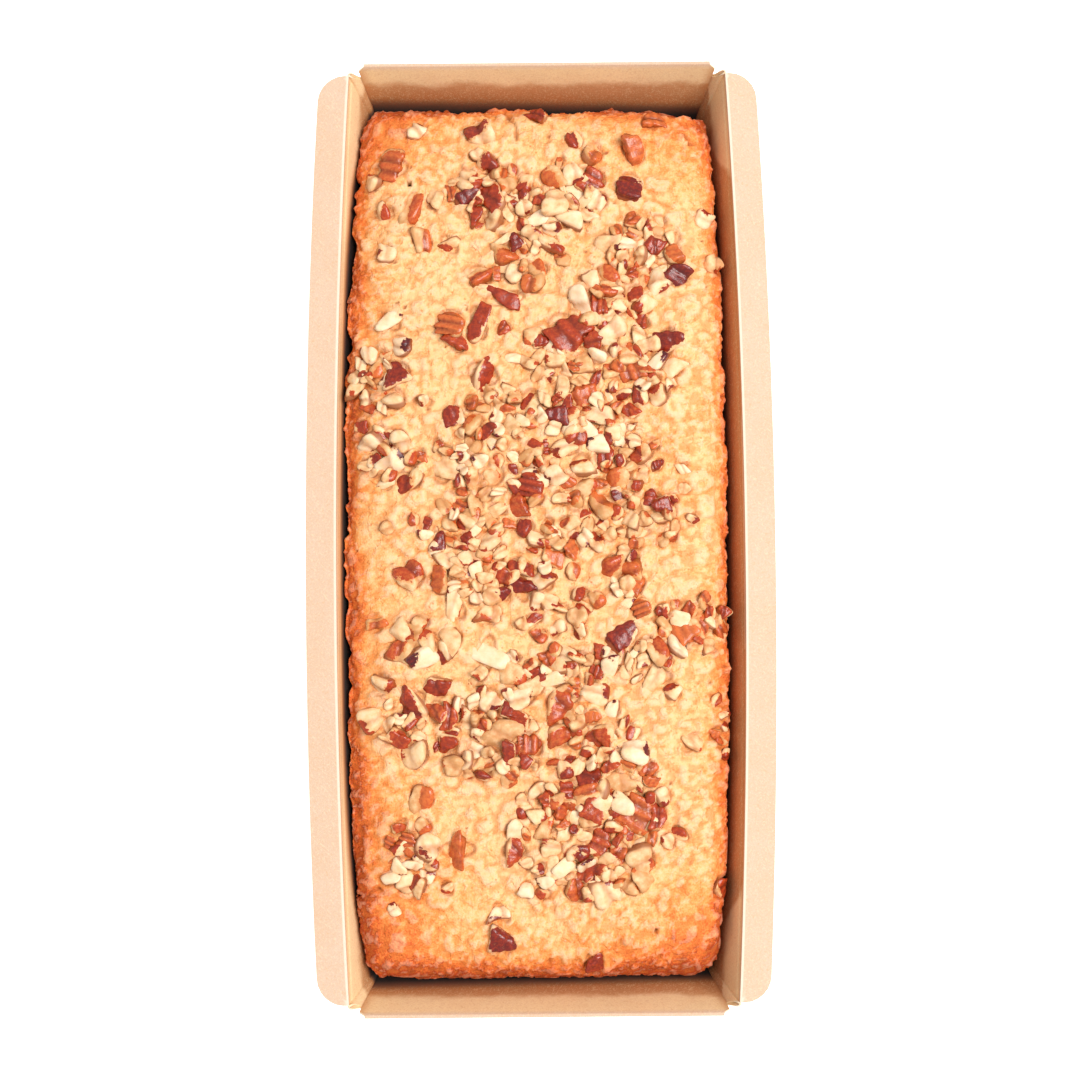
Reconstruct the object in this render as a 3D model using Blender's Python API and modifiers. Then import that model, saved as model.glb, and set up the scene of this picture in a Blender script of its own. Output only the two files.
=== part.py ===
"""Pecan loaf cake in the folded kraft-board tray that it was baked in.

Two pieces, in metres, +Z up, with the origin under the middle of the base and the
long side along Y:

- tray: one sheet of board, creased and folded into a long pan with turned-out
  flanges on its long walls and flaps folded down over its end walls;
- cake: one solid loaf with a domed crust, and chopped pecans sunk into it.
"""
import math
import random

import bmesh
import bpy
from mathutils import Matrix, Vector, noise

MM = 0.001

# Tray: the base, and the creases that its walls rise to
BOARD = 0.5 * MM
BASE_HALF_WIDTH = 34.0 * MM
BASE_HALF_LENGTH = 93.8 * MM
RIM_HEIGHT = 50.0 * MM
SIDE_HALF_WIDTH = 45.1 * MM
SIDE_BOW = 3.0 * MM
SIDE_HALF_LENGTH = 109.4 * MM
END_HALF_LENGTH = 112.5 * MM
END_HALF_WIDTH = 42.7 * MM
FOLD_HALF_WIDTH = 41.4 * MM
SHOULDER_DROP = 1.6 * MM

# Tray: flanges, end flaps, corner gussets and the curled board at each corner
FLANGE_WIDTH = 7.0 * MM
FLANGE_DROP = 0.7 * MM
FLANGE_CORNER = 6.0 * MM
FLANGE_CORNER_STEPS = 5
SIDE_STEP = 13.0 * MM
FLAP_DEPTH = 18.0 * MM
FLAP_TAPER = 4.5 * MM
FOLD_RADIUS = 0.85 * MM
FOLD_STEPS = 4
GUSSET_WIDTH = 27.0 * MM
GUSSET_THICKNESS = 1.5 * MM
GUSSET_FOOT = 2.0 * MM
ROLL_RADIUS = 0.95 * MM
ROLL_LENGTH = 24.0 * MM
ROLL_SIDES = 10

# Cake: clear of the board all round, with its rim higher along the left than the right
CAKE_GAP = 0.6 * MM
CAKE_FLOOR = 0.6 * MM
CROWN_HEIGHT = 53.0 * MM
CROWN_FALL_ACROSS = 2.2 * MM
CROWN_FALL_ALONG = 3.6 * MM
EDGE_HEIGHT_SIDES = 42.8 * MM
EDGE_LEAN_SIDES = 3.3 * MM
EDGE_HEIGHT_ENDS = 34.5 * MM
EDGE_LEAN_ENDS = 1.5 * MM
SHOULDER_SIDES = 12.0 * MM
SHOULDER_ENDS = 15.0 * MM
CORNER_RADIUS_BASE = 2.5 * MM
CORNER_RADIUS_TOP = 6.5 * MM
LUMP_SIZE = 17.0 * MM
LUMP_HEIGHT = 0.8 * MM
COBBLE_SIZE = 6.5 * MM
COBBLE_HEIGHT = 0.45 * MM
CRUST_STEP = 5.6 * MM
SHOULDER_STEPS = (0.0, 0.05, 0.18, 0.4, 0.7)
SIDE_LEVELS = 4

# Pecans: how many pieces there are, and how many are large enough to be solid here
PECAN_SEED = 41
DRIFT_PIECES = 300
SOLID_PIECES = 262
PIECE_SIZES = (2.8 * MM, 6.4 * MM)
SMALL_BIAS = 1.3
PIECE_SPACING = 0.42
SUNK_SHARE = 0.42
EDGE_MARGIN = 0.3 * MM

# Drifts of chopped nuts, in mm: middle (x, y), reach (x, y) and share of the pieces
DRIFTS = (
    (-8, 79.5, 13, 7, 26),
    (9, 80, 7, 7, 10),
    (24.5, 64, 8, 9, 24),
    (-1, 70, 6, 5, 8),
    (-5, 60, 7, 7, 8),
    (16, 52, 8, 7, 14),
    (5, 40, 8, 7, 12),
    (23, 38, 9, 7, 18),
    (-38.5, 36, 6, 8, 16),
    (-37, 18, 7, 7, 12),
    (-10, 27, 8, 7, 14),
    (5, 27, 8, 7, 12),
    (17, 22, 6, 13, 26),
    (-18, 15, 8, 6, 10),
    (-2, 13, 8, 8, 10),
    (19, 3, 13, 7, 28),
    (-17, 0, 10, 7, 18),
    (3, -3, 6, 5, 5),
    (-14, -11, 12, 6, 20),
    (19, -11, 5, 8, 8),
    (-28, -25, 8, 5, 7),
    (35, -22, 8, 6, 10),
    (21, -30, 11, 7, 12),
    (4, -34, 9, 6, 14),
    (-11, -42, 9, 6, 16),
    (8, -43, 7, 7, 10),
    (-32, -44, 8, 7, 8),
    (-12, -53, 9, 6, 16),
    (14, -54, 8, 6, 16),
    (4, -66, 11, 7, 24),
    (20, -67, 8, 8, 20),
    (10, -79, 12, 6, 18),
    (-31, -76, 7, 7, 14),
    (42, -48, 2.5, 8, 8),
    (0, -5, 38, 88, 12),
)

# Pieces set by hand, in mm: middle (x, y), length, width, and heading in degrees
SET_PIECES = (
    (-13.7, 94.8, 5.6, 4.8, 15),
    (-0.2, 100.2, 4.6, 3.6, -30),
    (27.6, 98.6, 5.0, 4.2, 20),
    (-28.4, 96.2, 4.2, 3.4, 60),
    (22.8, 90.4, 6.4, 4.8, -60),
    (21.5, 81.8, 6.6, 5.0, 75),
    (-34.9, 86.8, 8.0, 4.8, 10),
    (-39.0, 83.6, 4.4, 3.6, 70),
    (-29.8, 77.0, 7.0, 3.6, 80),
    (-11.4, 79.6, 6.6, 5.6, 10),
    (-16.8, 83.6, 5.2, 4.6, 80),
    (-16.6, 79.2, 5.0, 3.2, 0),
    (13.0, 83.6, 6.2, 4.6, -30),
    (-36.0, 66.0, 4.4, 3.6, 0),
    (-21.0, 68.0, 5.2, 2.8, -50),
    (39.2, 74.6, 4.4, 3.6, 60),
    (41.2, 63.4, 4.6, 4.0, -40),
    (-13.6, 60.5, 5.6, 3.4, -35),
    (-21.0, 49.2, 6.4, 5.6, 20),
    (-19.4, 44.6, 5.6, 3.4, -70),
    (-14.2, 49.0, 8.0, 3.4, -75),
    (-8.0, 54.8, 9.0, 3.4, 8),
    (7.6, 46.8, 11.4, 6.8, -25),
    (10.0, 54.0, 6.2, 3.8, 35),
    (30.0, 44.0, 6.8, 4.4, 70),
    (21.6, 36.8, 7.0, 3.8, 10),
    (-13.2, 36.8, 7.4, 5.0, -25),
    (-43.2, 34.0, 5.0, 4.4, 0),
    (-34.2, 31.2, 5.2, 4.8, 10),
    (-20.2, 27.0, 4.6, 4.0, 0),
    (3.6, 27.2, 5.0, 3.8, 10),
    (-21.6, 14.6, 8.2, 4.6, 55),
    (15.2, 17.6, 5.4, 3.8, 40),
    (18.0, 12.2, 6.6, 4.2, 15),
    (-30.8, 11.8, 6.4, 3.8, -10),
    (14.2, 5.6, 6.2, 4.4, 0),
    (-20.0, -17.2, 8.0, 3.2, -60),
    (-12.6, -29.0, 8.6, 3.8, 80),
    (-4.8, -13.4, 7.2, 3.4, -70),
    (3.4, -6.8, 5.0, 3.4, 40),
    (-32.2, -27.8, 5.4, 4.8, 0),
    (-32.2, -23.4, 4.6, 4.2, 10),
    (-26.4, -25.4, 6.0, 4.0, -25),
    (36.8, -23.0, 4.6, 3.8, 30),
    (-30.0, -41.0, 8.0, 4.0, 55),
    (-33.0, -48.6, 4.8, 3.8, 20),
    (19.0, -25.2, 6.8, 4.6, 30),
    (26.6, -34.0, 7.2, 3.6, -10),
    (4.0, -41.2, 7.0, 4.8, -40),
    (-9.6, -47.2, 8.0, 6.4, 60),
    (-2.4, -49.6, 6.0, 3.8, -50),
    (10.4, -57.2, 5.6, 4.8, 20),
    (17.6, -59.0, 6.4, 4.6, 0),
    (22.0, -64.8, 8.0, 6.4, 35),
    (26.6, -66.4, 5.8, 3.6, 85),
    (13.2, -71.8, 6.4, 4.0, -35),
    (-28.0, -62.0, 5.4, 4.4, -15),
    (-19.6, -73.8, 7.8, 3.6, 0),
    (7.4, -83.4, 5.8, 4.4, -40),
    (-31.4, -81.6, 4.6, 4.0, 20),
    (41.2, -83.4, 5.4, 3.6, 75),
    (-9.4, -95.6, 5.4, 4.6, -20),
    (11.6, -100.2, 5.0, 4.2, 75),
)


def clear_scene():
    """Start from an empty scene."""
    for item in list(bpy.data.objects):
        bpy.data.objects.remove(item, do_unlink=True)


def make_collection(name):
    """A new collection in the scene."""
    group = bpy.data.collections.new(name)
    bpy.context.scene.collection.children.link(group)
    return group


def make_object(name, bm, group):
    """Turn a bmesh into an object of the given collection."""
    mesh = bpy.data.meshes.new(name)
    bm.to_mesh(mesh)
    bm.free()
    item = bpy.data.objects.new(name, mesh)
    group.objects.link(item)
    return item


def make_material(name, colour, roughness):
    """A plain, non-metallic Principled surface."""
    material = bpy.data.materials.new(name)
    material.use_nodes = True
    shader = material.node_tree.nodes["Principled BSDF"]
    shader.inputs["Base Color"].default_value = (*colour, 1.0)
    shader.inputs["Roughness"].default_value = roughness
    shader.inputs["Metallic"].default_value = 0.0
    return material


def apply_modifiers(item):
    """Replace the object's mesh by its evaluated one and drop its modifiers."""
    graph = bpy.context.evaluated_depsgraph_get()
    mesh = bpy.data.meshes.new_from_object(item.evaluated_get(graph))
    item.modifiers.clear()
    item.data = mesh


def join_with(item, group):
    """Fuse every object of a collection into this one, then remove them."""
    union = item.modifiers.new("fuse", "BOOLEAN")
    union.operation = "UNION"
    union.operand_type = "COLLECTION"
    union.collection = group
    union.solver = "EXACT"
    apply_modifiers(item)
    for part in list(group.objects):
        bpy.data.objects.remove(part, do_unlink=True)
    bpy.data.collections.remove(group)


def keep_largest_body(item):
    """Drop loose scrap and the skins of sealed hollows that a union can leave."""
    bm = bmesh.new()
    bm.from_mesh(item.data)
    bmesh.ops.triangulate(bm, faces=bm.faces)
    waiting = set(bm.faces)
    bodies = []
    while waiting:
        body = [waiting.pop()]
        for face in body:
            for edge in face.edges:
                fresh = [other for other in edge.link_faces if other in waiting]
                waiting.difference_update(fresh)
                body.extend(fresh)
        bodies.append(body)
    bodies.sort(key=len)
    scrap = [face for body in bodies[:-1] for face in body]
    bmesh.ops.delete(bm, geom=scrap, context="FACES")
    bm.to_mesh(item.data)
    bm.free()
    return len(bodies) - 1


def add_sheet(bm, rows):
    """Loft a sheet of quads through rows of points of equal length."""
    lines = [[bm.verts.new(point) for point in row] for row in rows]
    for near, far in zip(lines, lines[1:]):
        for i in range(len(near) - 1):
            bm.faces.new((near[i], near[i + 1], far[i + 1], far[i]))


def side_stations():
    """Places along a long wall, -1 to 1, close together where a flange is rounded."""
    arc = [math.radians(90.0 * i / FLANGE_CORNER_STEPS) for i in range(FLANGE_CORNER_STEPS + 1)]
    rounded = [SIDE_HALF_LENGTH - FLANGE_CORNER * (1.0 - math.cos(a)) for a in arc]
    middle = SIDE_HALF_LENGTH - FLANGE_CORNER
    count = round(2.0 * middle / SIDE_STEP)
    straight = [middle - 2.0 * middle * i / count for i in range(1, count)]
    places = rounded + straight + [-y for y in reversed(rounded)]
    return [y / SIDE_HALF_LENGTH for y in reversed(places)]


def flange_width(station):
    """Width of the flange at a station, less where its outer corner is rounded."""
    to_end = SIDE_HALF_LENGTH * (1.0 - abs(station))
    inside = max(0.0, FLANGE_CORNER - to_end)
    return FLANGE_WIDTH - FLANGE_CORNER + math.sqrt(FLANGE_CORNER ** 2 - inside ** 2)


def side_crease(station, side):
    """Point of the crease between a long wall and its flange."""
    x = SIDE_HALF_WIDTH + SIDE_BOW * (1.0 - station ** 2)
    return Vector((side * x, station * SIDE_HALF_LENGTH, RIM_HEIGHT - BOARD / 2))


def end_wall_frame(end):
    """Foot of an end wall, with its directions up the board and out of the tray."""
    top_y = END_HALF_LENGTH - BOARD / 2 - 2.0 * FOLD_RADIUS
    slope = Vector((0.0, end * (top_y - BASE_HALF_LENGTH), RIM_HEIGHT - BOARD - FOLD_RADIUS))
    up = slope.normalized()
    out = Vector((0.0, end * up.z, -abs(up.y)))
    foot = Vector((0.0, end * BASE_HALF_LENGTH, BOARD / 2))
    return foot, up, out, slope.length


def add_long_wall(bm, side):
    """A long wall and its flange, ruled from the straight base crease to the bowed rim."""
    base, rim, edge = [], [], []
    for station in side_stations():
        base.append(Vector((side * BASE_HALF_WIDTH, station * BASE_HALF_LENGTH, BOARD / 2)))
        crease = side_crease(station, side)
        rim.append(crease)
        width = flange_width(station)
        edge.append(crease + Vector((side * width, 0.0, -FLANGE_DROP * width / FLANGE_WIDTH)))
    add_sheet(bm, (base, rim, edge))


def add_end_wall(bm, end):
    """An end wall, its narrower folded rim and the flap turned down outside it."""
    foot, up, out, height = end_wall_frame(end)
    across = Vector((1.0, 0.0, 0.0))
    rows = [(foot, BASE_HALF_WIDTH)]
    rows.append((foot + up * (height - SHOULDER_DROP), END_HALF_WIDTH))
    rows.append((foot + up * height, FOLD_HALF_WIDTH))
    centre = foot + up * height + out * FOLD_RADIUS
    for i in range(1, FOLD_STEPS + 1):
        turn = math.pi * i / FOLD_STEPS
        point = centre - out * (FOLD_RADIUS * math.cos(turn)) + up * (FOLD_RADIUS * math.sin(turn))
        rows.append((point, FOLD_HALF_WIDTH))
    rows.append((rows[-1][0] - up * FLAP_DEPTH, FOLD_HALF_WIDTH - FLAP_TAPER))
    add_sheet(bm, [(point - across * half, point + across * half) for point, half in rows])


def add_corner(bm, side, end):
    """The narrow turned strip that closes the corner between two walls."""
    foot, up, _, height = end_wall_frame(end)
    base = Vector((side * BASE_HALF_WIDTH, end * BASE_HALF_LENGTH, BOARD / 2))
    shoulder = foot + up * (height - SHOULDER_DROP) + Vector((side * END_HALF_WIDTH, 0.0, 0.0))
    crease = side_crease(end, side)
    turned = Vector((crease.x, shoulder.y, shoulder.z))
    verts = [bm.verts.new(point) for point in (base, crease, turned, shoulder)]
    bm.faces.new((verts[0], verts[1], verts[2]))
    bm.faces.new((verts[0], verts[2], verts[3]))


def add_base(bm):
    """The flat base, with a row of points for each station of the long walls."""
    rows = []
    for station in side_stations():
        y = station * BASE_HALF_LENGTH
        rows.append([Vector((side * BASE_HALF_WIDTH, y, BOARD / 2)) for side in (-1, 1)])
    add_sheet(bm, rows)


def make_gusset(side, end, group):
    """The double layer of board folded flat against the outside of an end wall."""
    foot, up, out, height = end_wall_frame(end)
    reach = height - SHOULDER_DROP
    outline = (
        foot + up * GUSSET_FOOT + Vector((side * (BASE_HALF_WIDTH - BOARD / 2), 0.0, 0.0)),
        foot + up * reach + Vector((side * (END_HALF_WIDTH - BOARD / 2), 0.0, 0.0)),
        foot + up * reach + Vector((side * (END_HALF_WIDTH - GUSSET_WIDTH), 0.0, 0.0)),
    )
    bm = bmesh.new()
    bm.faces.new([bm.verts.new(point) for point in outline])
    slab = bmesh.ops.extrude_face_region(bm, geom=bm.faces[:])
    moved = [item for item in slab["geom"] if isinstance(item, bmesh.types.BMVert)]
    bmesh.ops.translate(bm, verts=moved, vec=out * GUSSET_THICKNESS)
    bmesh.ops.recalc_face_normals(bm, faces=bm.faces)
    make_object("gusset", bm, group)


def make_roll(side, end, group):
    """The tapered curl of board where a long wall turns behind the end wall."""
    foot, up, _, height = end_wall_frame(end)
    base = Vector((side * BASE_HALF_WIDTH, end * BASE_HALF_LENGTH, BOARD / 2))
    crease = side_crease(end, side)
    shoulder = foot + up * height + Vector((side * END_HALF_WIDTH, 0.0, 0.0))
    top = (crease + shoulder) / 2
    down = (base - top).normalized()
    bm = bmesh.new()
    bmesh.ops.create_cone(bm, cap_ends=True, segments=ROLL_SIDES, radius1=ROLL_RADIUS,
                          radius2=ROLL_RADIUS / 3, depth=ROLL_LENGTH)
    turn = down.to_track_quat("Z", "Y").to_matrix().to_4x4()
    bmesh.ops.transform(bm, verts=bm.verts, matrix=Matrix.Translation(top + down * ROLL_LENGTH / 2) @ turn)
    make_object("roll", bm, group)


def make_tray(group):
    """The folded tray: a sheet given its thickness, with gussets and curls fused on."""
    bm = bmesh.new()
    add_base(bm)
    for sign in (-1, 1):
        add_long_wall(bm, sign)
        add_end_wall(bm, sign)
        for end in (-1, 1):
            add_corner(bm, sign, end)
    bmesh.ops.remove_doubles(bm, verts=bm.verts, dist=0.001 * MM)
    bmesh.ops.recalc_face_normals(bm, faces=bm.faces)
    tray = make_object("tray", bm, group)
    board = tray.modifiers.new("board", "SOLIDIFY")
    board.thickness = BOARD
    board.offset = 0.0
    board.use_even_offset = True
    apply_modifiers(tray)
    for vert in tray.data.vertices:
        vert.co.z = max(0.0, vert.co.z)

    folded = make_collection("tray folds")
    for side in (-1, 1):
        for end in (-1, 1):
            make_gusset(side, end, folded)
            make_roll(side, end, folded)
    join_with(tray, folded)
    keep_largest_body(tray)
    tray.data.materials.append(make_material("kraft_board", (0.74, 0.48, 0.28), 0.85))
    return tray


def half_length(z):
    """Half the length of the space for the cake at height z."""
    rise = END_HALF_LENGTH - 2.0 * FOLD_RADIUS - BASE_HALF_LENGTH
    return BASE_HALF_LENGTH + rise * z / RIM_HEIGHT - BOARD / 2 - CAKE_GAP


def half_width(y, z):
    """Half the width of that space at a place along it and a height."""
    rise = z / RIM_HEIGHT
    reach = BASE_HALF_LENGTH + (SIDE_HALF_LENGTH - BASE_HALF_LENGTH) * rise
    station = min(1.0, abs(y) / reach)
    flare = SIDE_HALF_WIDTH - BASE_HALF_WIDTH + SIDE_BOW * (1.0 - station ** 2)
    return BASE_HALF_WIDTH + flare * rise - BOARD / 2 - CAKE_GAP


def edge_height(u, v):
    """Height of the cake's top edge, round an outline given as u and v from -1 to 1."""
    sides = EDGE_HEIGHT_SIDES - EDGE_LEAN_SIDES * u
    ends = EDGE_HEIGHT_ENDS - EDGE_LEAN_ENDS * u
    return sides + (ends - sides) * abs(v) ** 5


def shoulder(distance, reach):
    """Share of the rise to the crown at a distance in from the edge: a quarter round."""
    short = 1.0 - min(1.0, distance / reach)
    return math.sqrt(1.0 - short ** 2)


def relief(x, y):
    """Soft lumps and cobbles of the risen crust, as a height."""
    lump = noise.noise(Vector((x, y, 0.3 * LUMP_SIZE)) / LUMP_SIZE)
    cobble = noise.noise(Vector((x, y, 1.7 * COBBLE_SIZE)) / COBBLE_SIZE)
    return LUMP_HEIGHT * lump + COBBLE_HEIGHT * cobble


def inset(x, y):
    """How far a point lies in from the long sides and from the ends of the crust."""
    in_x = half_width(y, EDGE_HEIGHT_SIDES) - abs(x)
    in_y = half_length(EDGE_HEIGHT_ENDS) - abs(y)
    return max(0.0, in_x), max(0.0, in_y)


def crust_height(x, y):
    """Height of the cake's crust above a point of the base."""
    u = max(-1.0, min(1.0, x / half_width(y, EDGE_HEIGHT_SIDES)))
    v = max(-1.0, min(1.0, y / half_length(EDGE_HEIGHT_ENDS)))
    edge = edge_height(u, v)
    in_x, in_y = inset(x, y)
    rise = shoulder(in_x, SHOULDER_SIDES) * shoulder(in_y, SHOULDER_ENDS)
    crown = CROWN_HEIGHT - CROWN_FALL_ACROSS * u * u - CROWN_FALL_ALONG * v * v
    return edge + (crown + relief(x, y) - edge) * rise


def round_corner(x, y, wide, long, radius):
    """Move a point of a rectangle so that its corners become round."""
    over_x = abs(x) - (wide - radius)
    over_y = abs(y) - (long - radius)
    if over_x <= 0.0 or over_y <= 0.0:
        return x, y
    pull = max(over_x, over_y) / math.hypot(over_x, over_y)
    new_x = wide - radius + over_x * pull
    new_y = long - radius + over_y * pull
    return math.copysign(new_x, x), math.copysign(new_y, y)


def crust_lines(half, reach):
    """Grid lines across the crust, -1 to 1, closest at the shoulder."""
    near = [half - share * reach for share in SHOULDER_STEPS]
    inner = half - reach
    count = round(2.0 * inner / CRUST_STEP)
    middle = [inner - 2.0 * inner * i / count for i in range(count + 1)]
    lines = near + middle + [-value for value in reversed(near)]
    return [value / half for value in lines]


def crust_point(u, v):
    """Point of the cake's top for u and v from -1 to 1."""
    z = edge_height(u, v)
    long = half_length(z)
    wide = half_width(v * long, z)
    x, y = round_corner(u * wide, v * long, wide, long, CORNER_RADIUS_TOP)
    return Vector((x, y, crust_height(x, y) if max(abs(u), abs(v)) < 1.0 else z))


def side_point(u, v, level):
    """Point of the cake's side, at a share of the way up from the base."""
    z = CAKE_FLOOR + (edge_height(u, v) - CAKE_FLOOR) * level
    long = half_length(z)
    wide = half_width(v * long, z)
    radius = CORNER_RADIUS_BASE + (CORNER_RADIUS_TOP - CORNER_RADIUS_BASE) * level
    x, y = round_corner(u * wide, v * long, wide, long, radius)
    return Vector((x, y, z))


def make_loaf(group):
    """The bare loaf: a gridded crust, and sides lofted down from its edge."""
    across = crust_lines(half_width(0.0, EDGE_HEIGHT_SIDES), SHOULDER_SIDES)
    along = crust_lines(half_length(EDGE_HEIGHT_ENDS), SHOULDER_ENDS)
    bm = bmesh.new()
    grid = [[bm.verts.new(crust_point(u, v)) for u in across] for v in along]
    for near, far in zip(grid, grid[1:]):
        for i in range(len(near) - 1):
            bm.faces.new((near[i], far[i], far[i + 1], near[i + 1]))

    rim = [(u, along[0], grid[0][i]) for i, u in enumerate(across)]
    rim += [(across[-1], v, row[-1]) for v, row in zip(along[1:], grid[1:])]
    rim += [(u, along[-1], grid[-1][i]) for i, u in reversed(list(enumerate(across[:-1])))]
    rim += [(across[0], v, row[0]) for v, row in reversed(list(zip(along[1:-1], grid[1:-1])))]
    upper = [vert for _, _, vert in rim]
    for step in range(SIDE_LEVELS - 1, -1, -1):
        lower = [bm.verts.new(side_point(u, v, step / SIDE_LEVELS)) for u, v, _ in rim]
        for i in range(len(rim)):
            j = (i + 1) % len(rim)
            bm.faces.new((upper[i], upper[j], lower[j], lower[i]))
        upper = lower
    bm.faces.new(upper)
    bmesh.ops.recalc_face_normals(bm, faces=bm.faces)
    return make_object("cake", bm, group)


def drift_pieces():
    """Chopped nuts: those set by hand, then those drawn in the drifts."""
    draw = random.Random(PECAN_SEED)
    pieces = [tuple(value * MM for value in piece[:4]) + (piece[4],) for piece in SET_PIECES]
    shares = [drift[4] for drift in DRIFTS]
    tries = 0
    while len(pieces) < DRIFT_PIECES + len(SET_PIECES) and tries < 20 * DRIFT_PIECES:
        tries += 1
        mid_x, mid_y, reach_x, reach_y, _ = draw.choices(DRIFTS, shares)[0]
        x = draw.gauss(mid_x, reach_x / 2) * MM
        y = draw.gauss(mid_y, reach_y / 2) * MM
        length = PIECE_SIZES[0] + (PIECE_SIZES[1] - PIECE_SIZES[0]) * draw.random() ** SMALL_BIAS
        width = length * draw.uniform(0.5, 0.95)
        heading = draw.uniform(0.0, 360.0)
        if min(inset(x, y)) < length / 2 + EDGE_MARGIN:
            continue
        gaps = (math.hypot(x - p[0], y - p[1]) / (length + p[2]) for p in pieces)
        if min(gaps) < PIECE_SPACING:
            continue
        pieces.append((x, y, length, width, heading))
    return pieces


def crust_frame(x, y, heading):
    """Place and turn of a piece that lies on the crust at a point."""
    step = 1.5 * MM
    slope_x = (crust_height(x + step, y) - crust_height(x - step, y)) / (2 * step)
    slope_y = (crust_height(x, y + step) - crust_height(x, y - step)) / (2 * step)
    up = Vector((-slope_x, -slope_y, 1.0)).normalized()
    lie = up.to_track_quat("Z", "Y").to_matrix().to_4x4()
    spot = Vector((x, y, crust_height(x, y)))
    return Matrix.Translation(spot) @ lie @ Matrix.Rotation(math.radians(heading), 4, "Z")


def make_piece(piece, draw, group):
    """One chopped piece: the hull of a few points of a jagged block, partly sunk."""
    x, y, length, width, heading = piece
    height = min(width, length) * draw.uniform(0.55, 0.8)
    bm = bmesh.new()
    for sx in (-1, 1):
        for sy in (-1, 1):
            low = Vector((sx * draw.uniform(0.6, 1.0) * length, sy * draw.uniform(0.6, 1.0) * width, 0.0)) / 2
            high = Vector((low.x * draw.uniform(0.5, 1.0), low.y * draw.uniform(0.5, 1.0),
                           height * draw.uniform(0.75, 1.0)))
            bm.verts.new(low)
            bm.verts.new(high)
    bmesh.ops.convex_hull(bm, input=bm.verts)
    bmesh.ops.triangulate(bm, faces=bm.faces)
    bmesh.ops.recalc_face_normals(bm, faces=bm.faces)
    sunk = Matrix.Translation((0.0, 0.0, -SUNK_SHARE * height))
    bmesh.ops.transform(bm, verts=bm.verts, matrix=crust_frame(x, y, heading) @ sunk)
    make_object("pecan", bm, group)


def make_cake(group):
    """The loaf with its larger pecan pieces fused to the crust."""
    cake = make_loaf(group)
    pecans = make_collection("pecan pieces")
    draw = random.Random(PECAN_SEED + 1)
    pieces = sorted(drift_pieces(), key=lambda piece: -piece[2] * piece[3])
    for piece in pieces[:SOLID_PIECES]:
        make_piece(piece, draw, pecans)
    join_with(cake, pecans)
    keep_largest_body(cake)
    cake.data.materials.clear()
    cake.data.materials.append(make_material("baked_crust", (0.86, 0.5, 0.2), 0.75))
    return cake


clear_scene()
parts = make_collection("pecan_loaf_cake")
make_tray(parts)
make_cake(parts)
for made in parts.objects:
    print(made.name, len(made.data.polygons), "faces")
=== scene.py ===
# %% [markdown]
# # A pecan loaf cake in its kraft tray
#
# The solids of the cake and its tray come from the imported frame. This lesson dresses them:
# a folded board tray with butter stains, a baked crust with cobbles, pits and cracks, and
# several hundred chopped pecans. Most of the nuts lie where the solid cake has them, and
# smaller chips fill the drifts between them.

import itertools
import math
import random

import bmesh
import bpy
import numpy as np
from mathutils import Matrix, Vector, noise


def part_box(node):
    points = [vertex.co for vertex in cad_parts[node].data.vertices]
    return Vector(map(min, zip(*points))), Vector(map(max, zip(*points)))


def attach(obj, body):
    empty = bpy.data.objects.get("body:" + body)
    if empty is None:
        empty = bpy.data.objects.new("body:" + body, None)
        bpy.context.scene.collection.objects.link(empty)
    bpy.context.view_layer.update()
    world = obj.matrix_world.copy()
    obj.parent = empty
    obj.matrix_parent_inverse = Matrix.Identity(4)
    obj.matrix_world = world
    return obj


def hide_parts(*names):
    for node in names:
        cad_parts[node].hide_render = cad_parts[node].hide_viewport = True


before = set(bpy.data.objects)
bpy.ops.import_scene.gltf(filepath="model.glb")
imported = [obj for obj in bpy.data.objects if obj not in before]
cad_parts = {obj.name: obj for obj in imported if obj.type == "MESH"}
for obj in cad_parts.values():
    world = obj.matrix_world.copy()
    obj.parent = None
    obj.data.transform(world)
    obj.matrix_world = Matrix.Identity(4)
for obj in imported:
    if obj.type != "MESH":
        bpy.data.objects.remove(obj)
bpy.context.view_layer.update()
MM = 0.001
tray_low, tray_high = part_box("tray")
cake_low, cake_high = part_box("cake")
print("nodes:", sorted(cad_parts))
print("tray, mm:", [round(value / MM, 1) for value in tray_high])

# %% [markdown]
# ## Camera
#
# The photo looks almost straight down at a brightly lit white table. A camera could be set
# with a track constraint, but a turn worked out from two small angles is easier to repeat.

# %% Camera
FRAME_PIXELS = 1080
FOCAL_PIXELS = 2135
SENSOR = 36.0
CAMERA_DISTANCE = 500 * MM
CAMERA_TILT = math.radians(-5.0)
CAMERA_ROLL = math.radians(0.47)
AIM = Vector((-0.15 * MM, -2.25 * MM, tray_high[2]))


def link(item):
    """Put a new object in the scene."""
    bpy.context.scene.collection.objects.link(item)
    return item


def set_camera():
    """A long lens above the loaf, tipped a little so that it sees it from the near end."""
    data = bpy.data.cameras.new("photo_camera")
    data.sensor_width = SENSOR
    data.lens = SENSOR * FOCAL_PIXELS / FRAME_PIXELS
    data.clip_start = 10 * MM
    camera = link(bpy.data.objects.new("photo_camera", data))
    turn = (Matrix.Rotation(CAMERA_ROLL, 3, "Z") @ Matrix.Rotation(CAMERA_TILT, 3, "X")).transposed()
    spot = AIM + turn @ Vector((0.0, 0.0, CAMERA_DISTANCE))
    camera.matrix_world = Matrix.Translation(spot) @ turn.to_4x4()
    bpy.context.scene.camera = camera
    return camera


camera = set_camera()
print("lens:", round(camera.data.lens, 1), "mm")

# %% [markdown]
# ## Light, sky and floor
#
# The light is a wide soft panel high on the right, so the right wall is in shade and the
# left one is lit, and a bright even sky fills the shadows. The table glows a little, because
# a lit white sheet alone would come out grey beside the tray.

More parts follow.
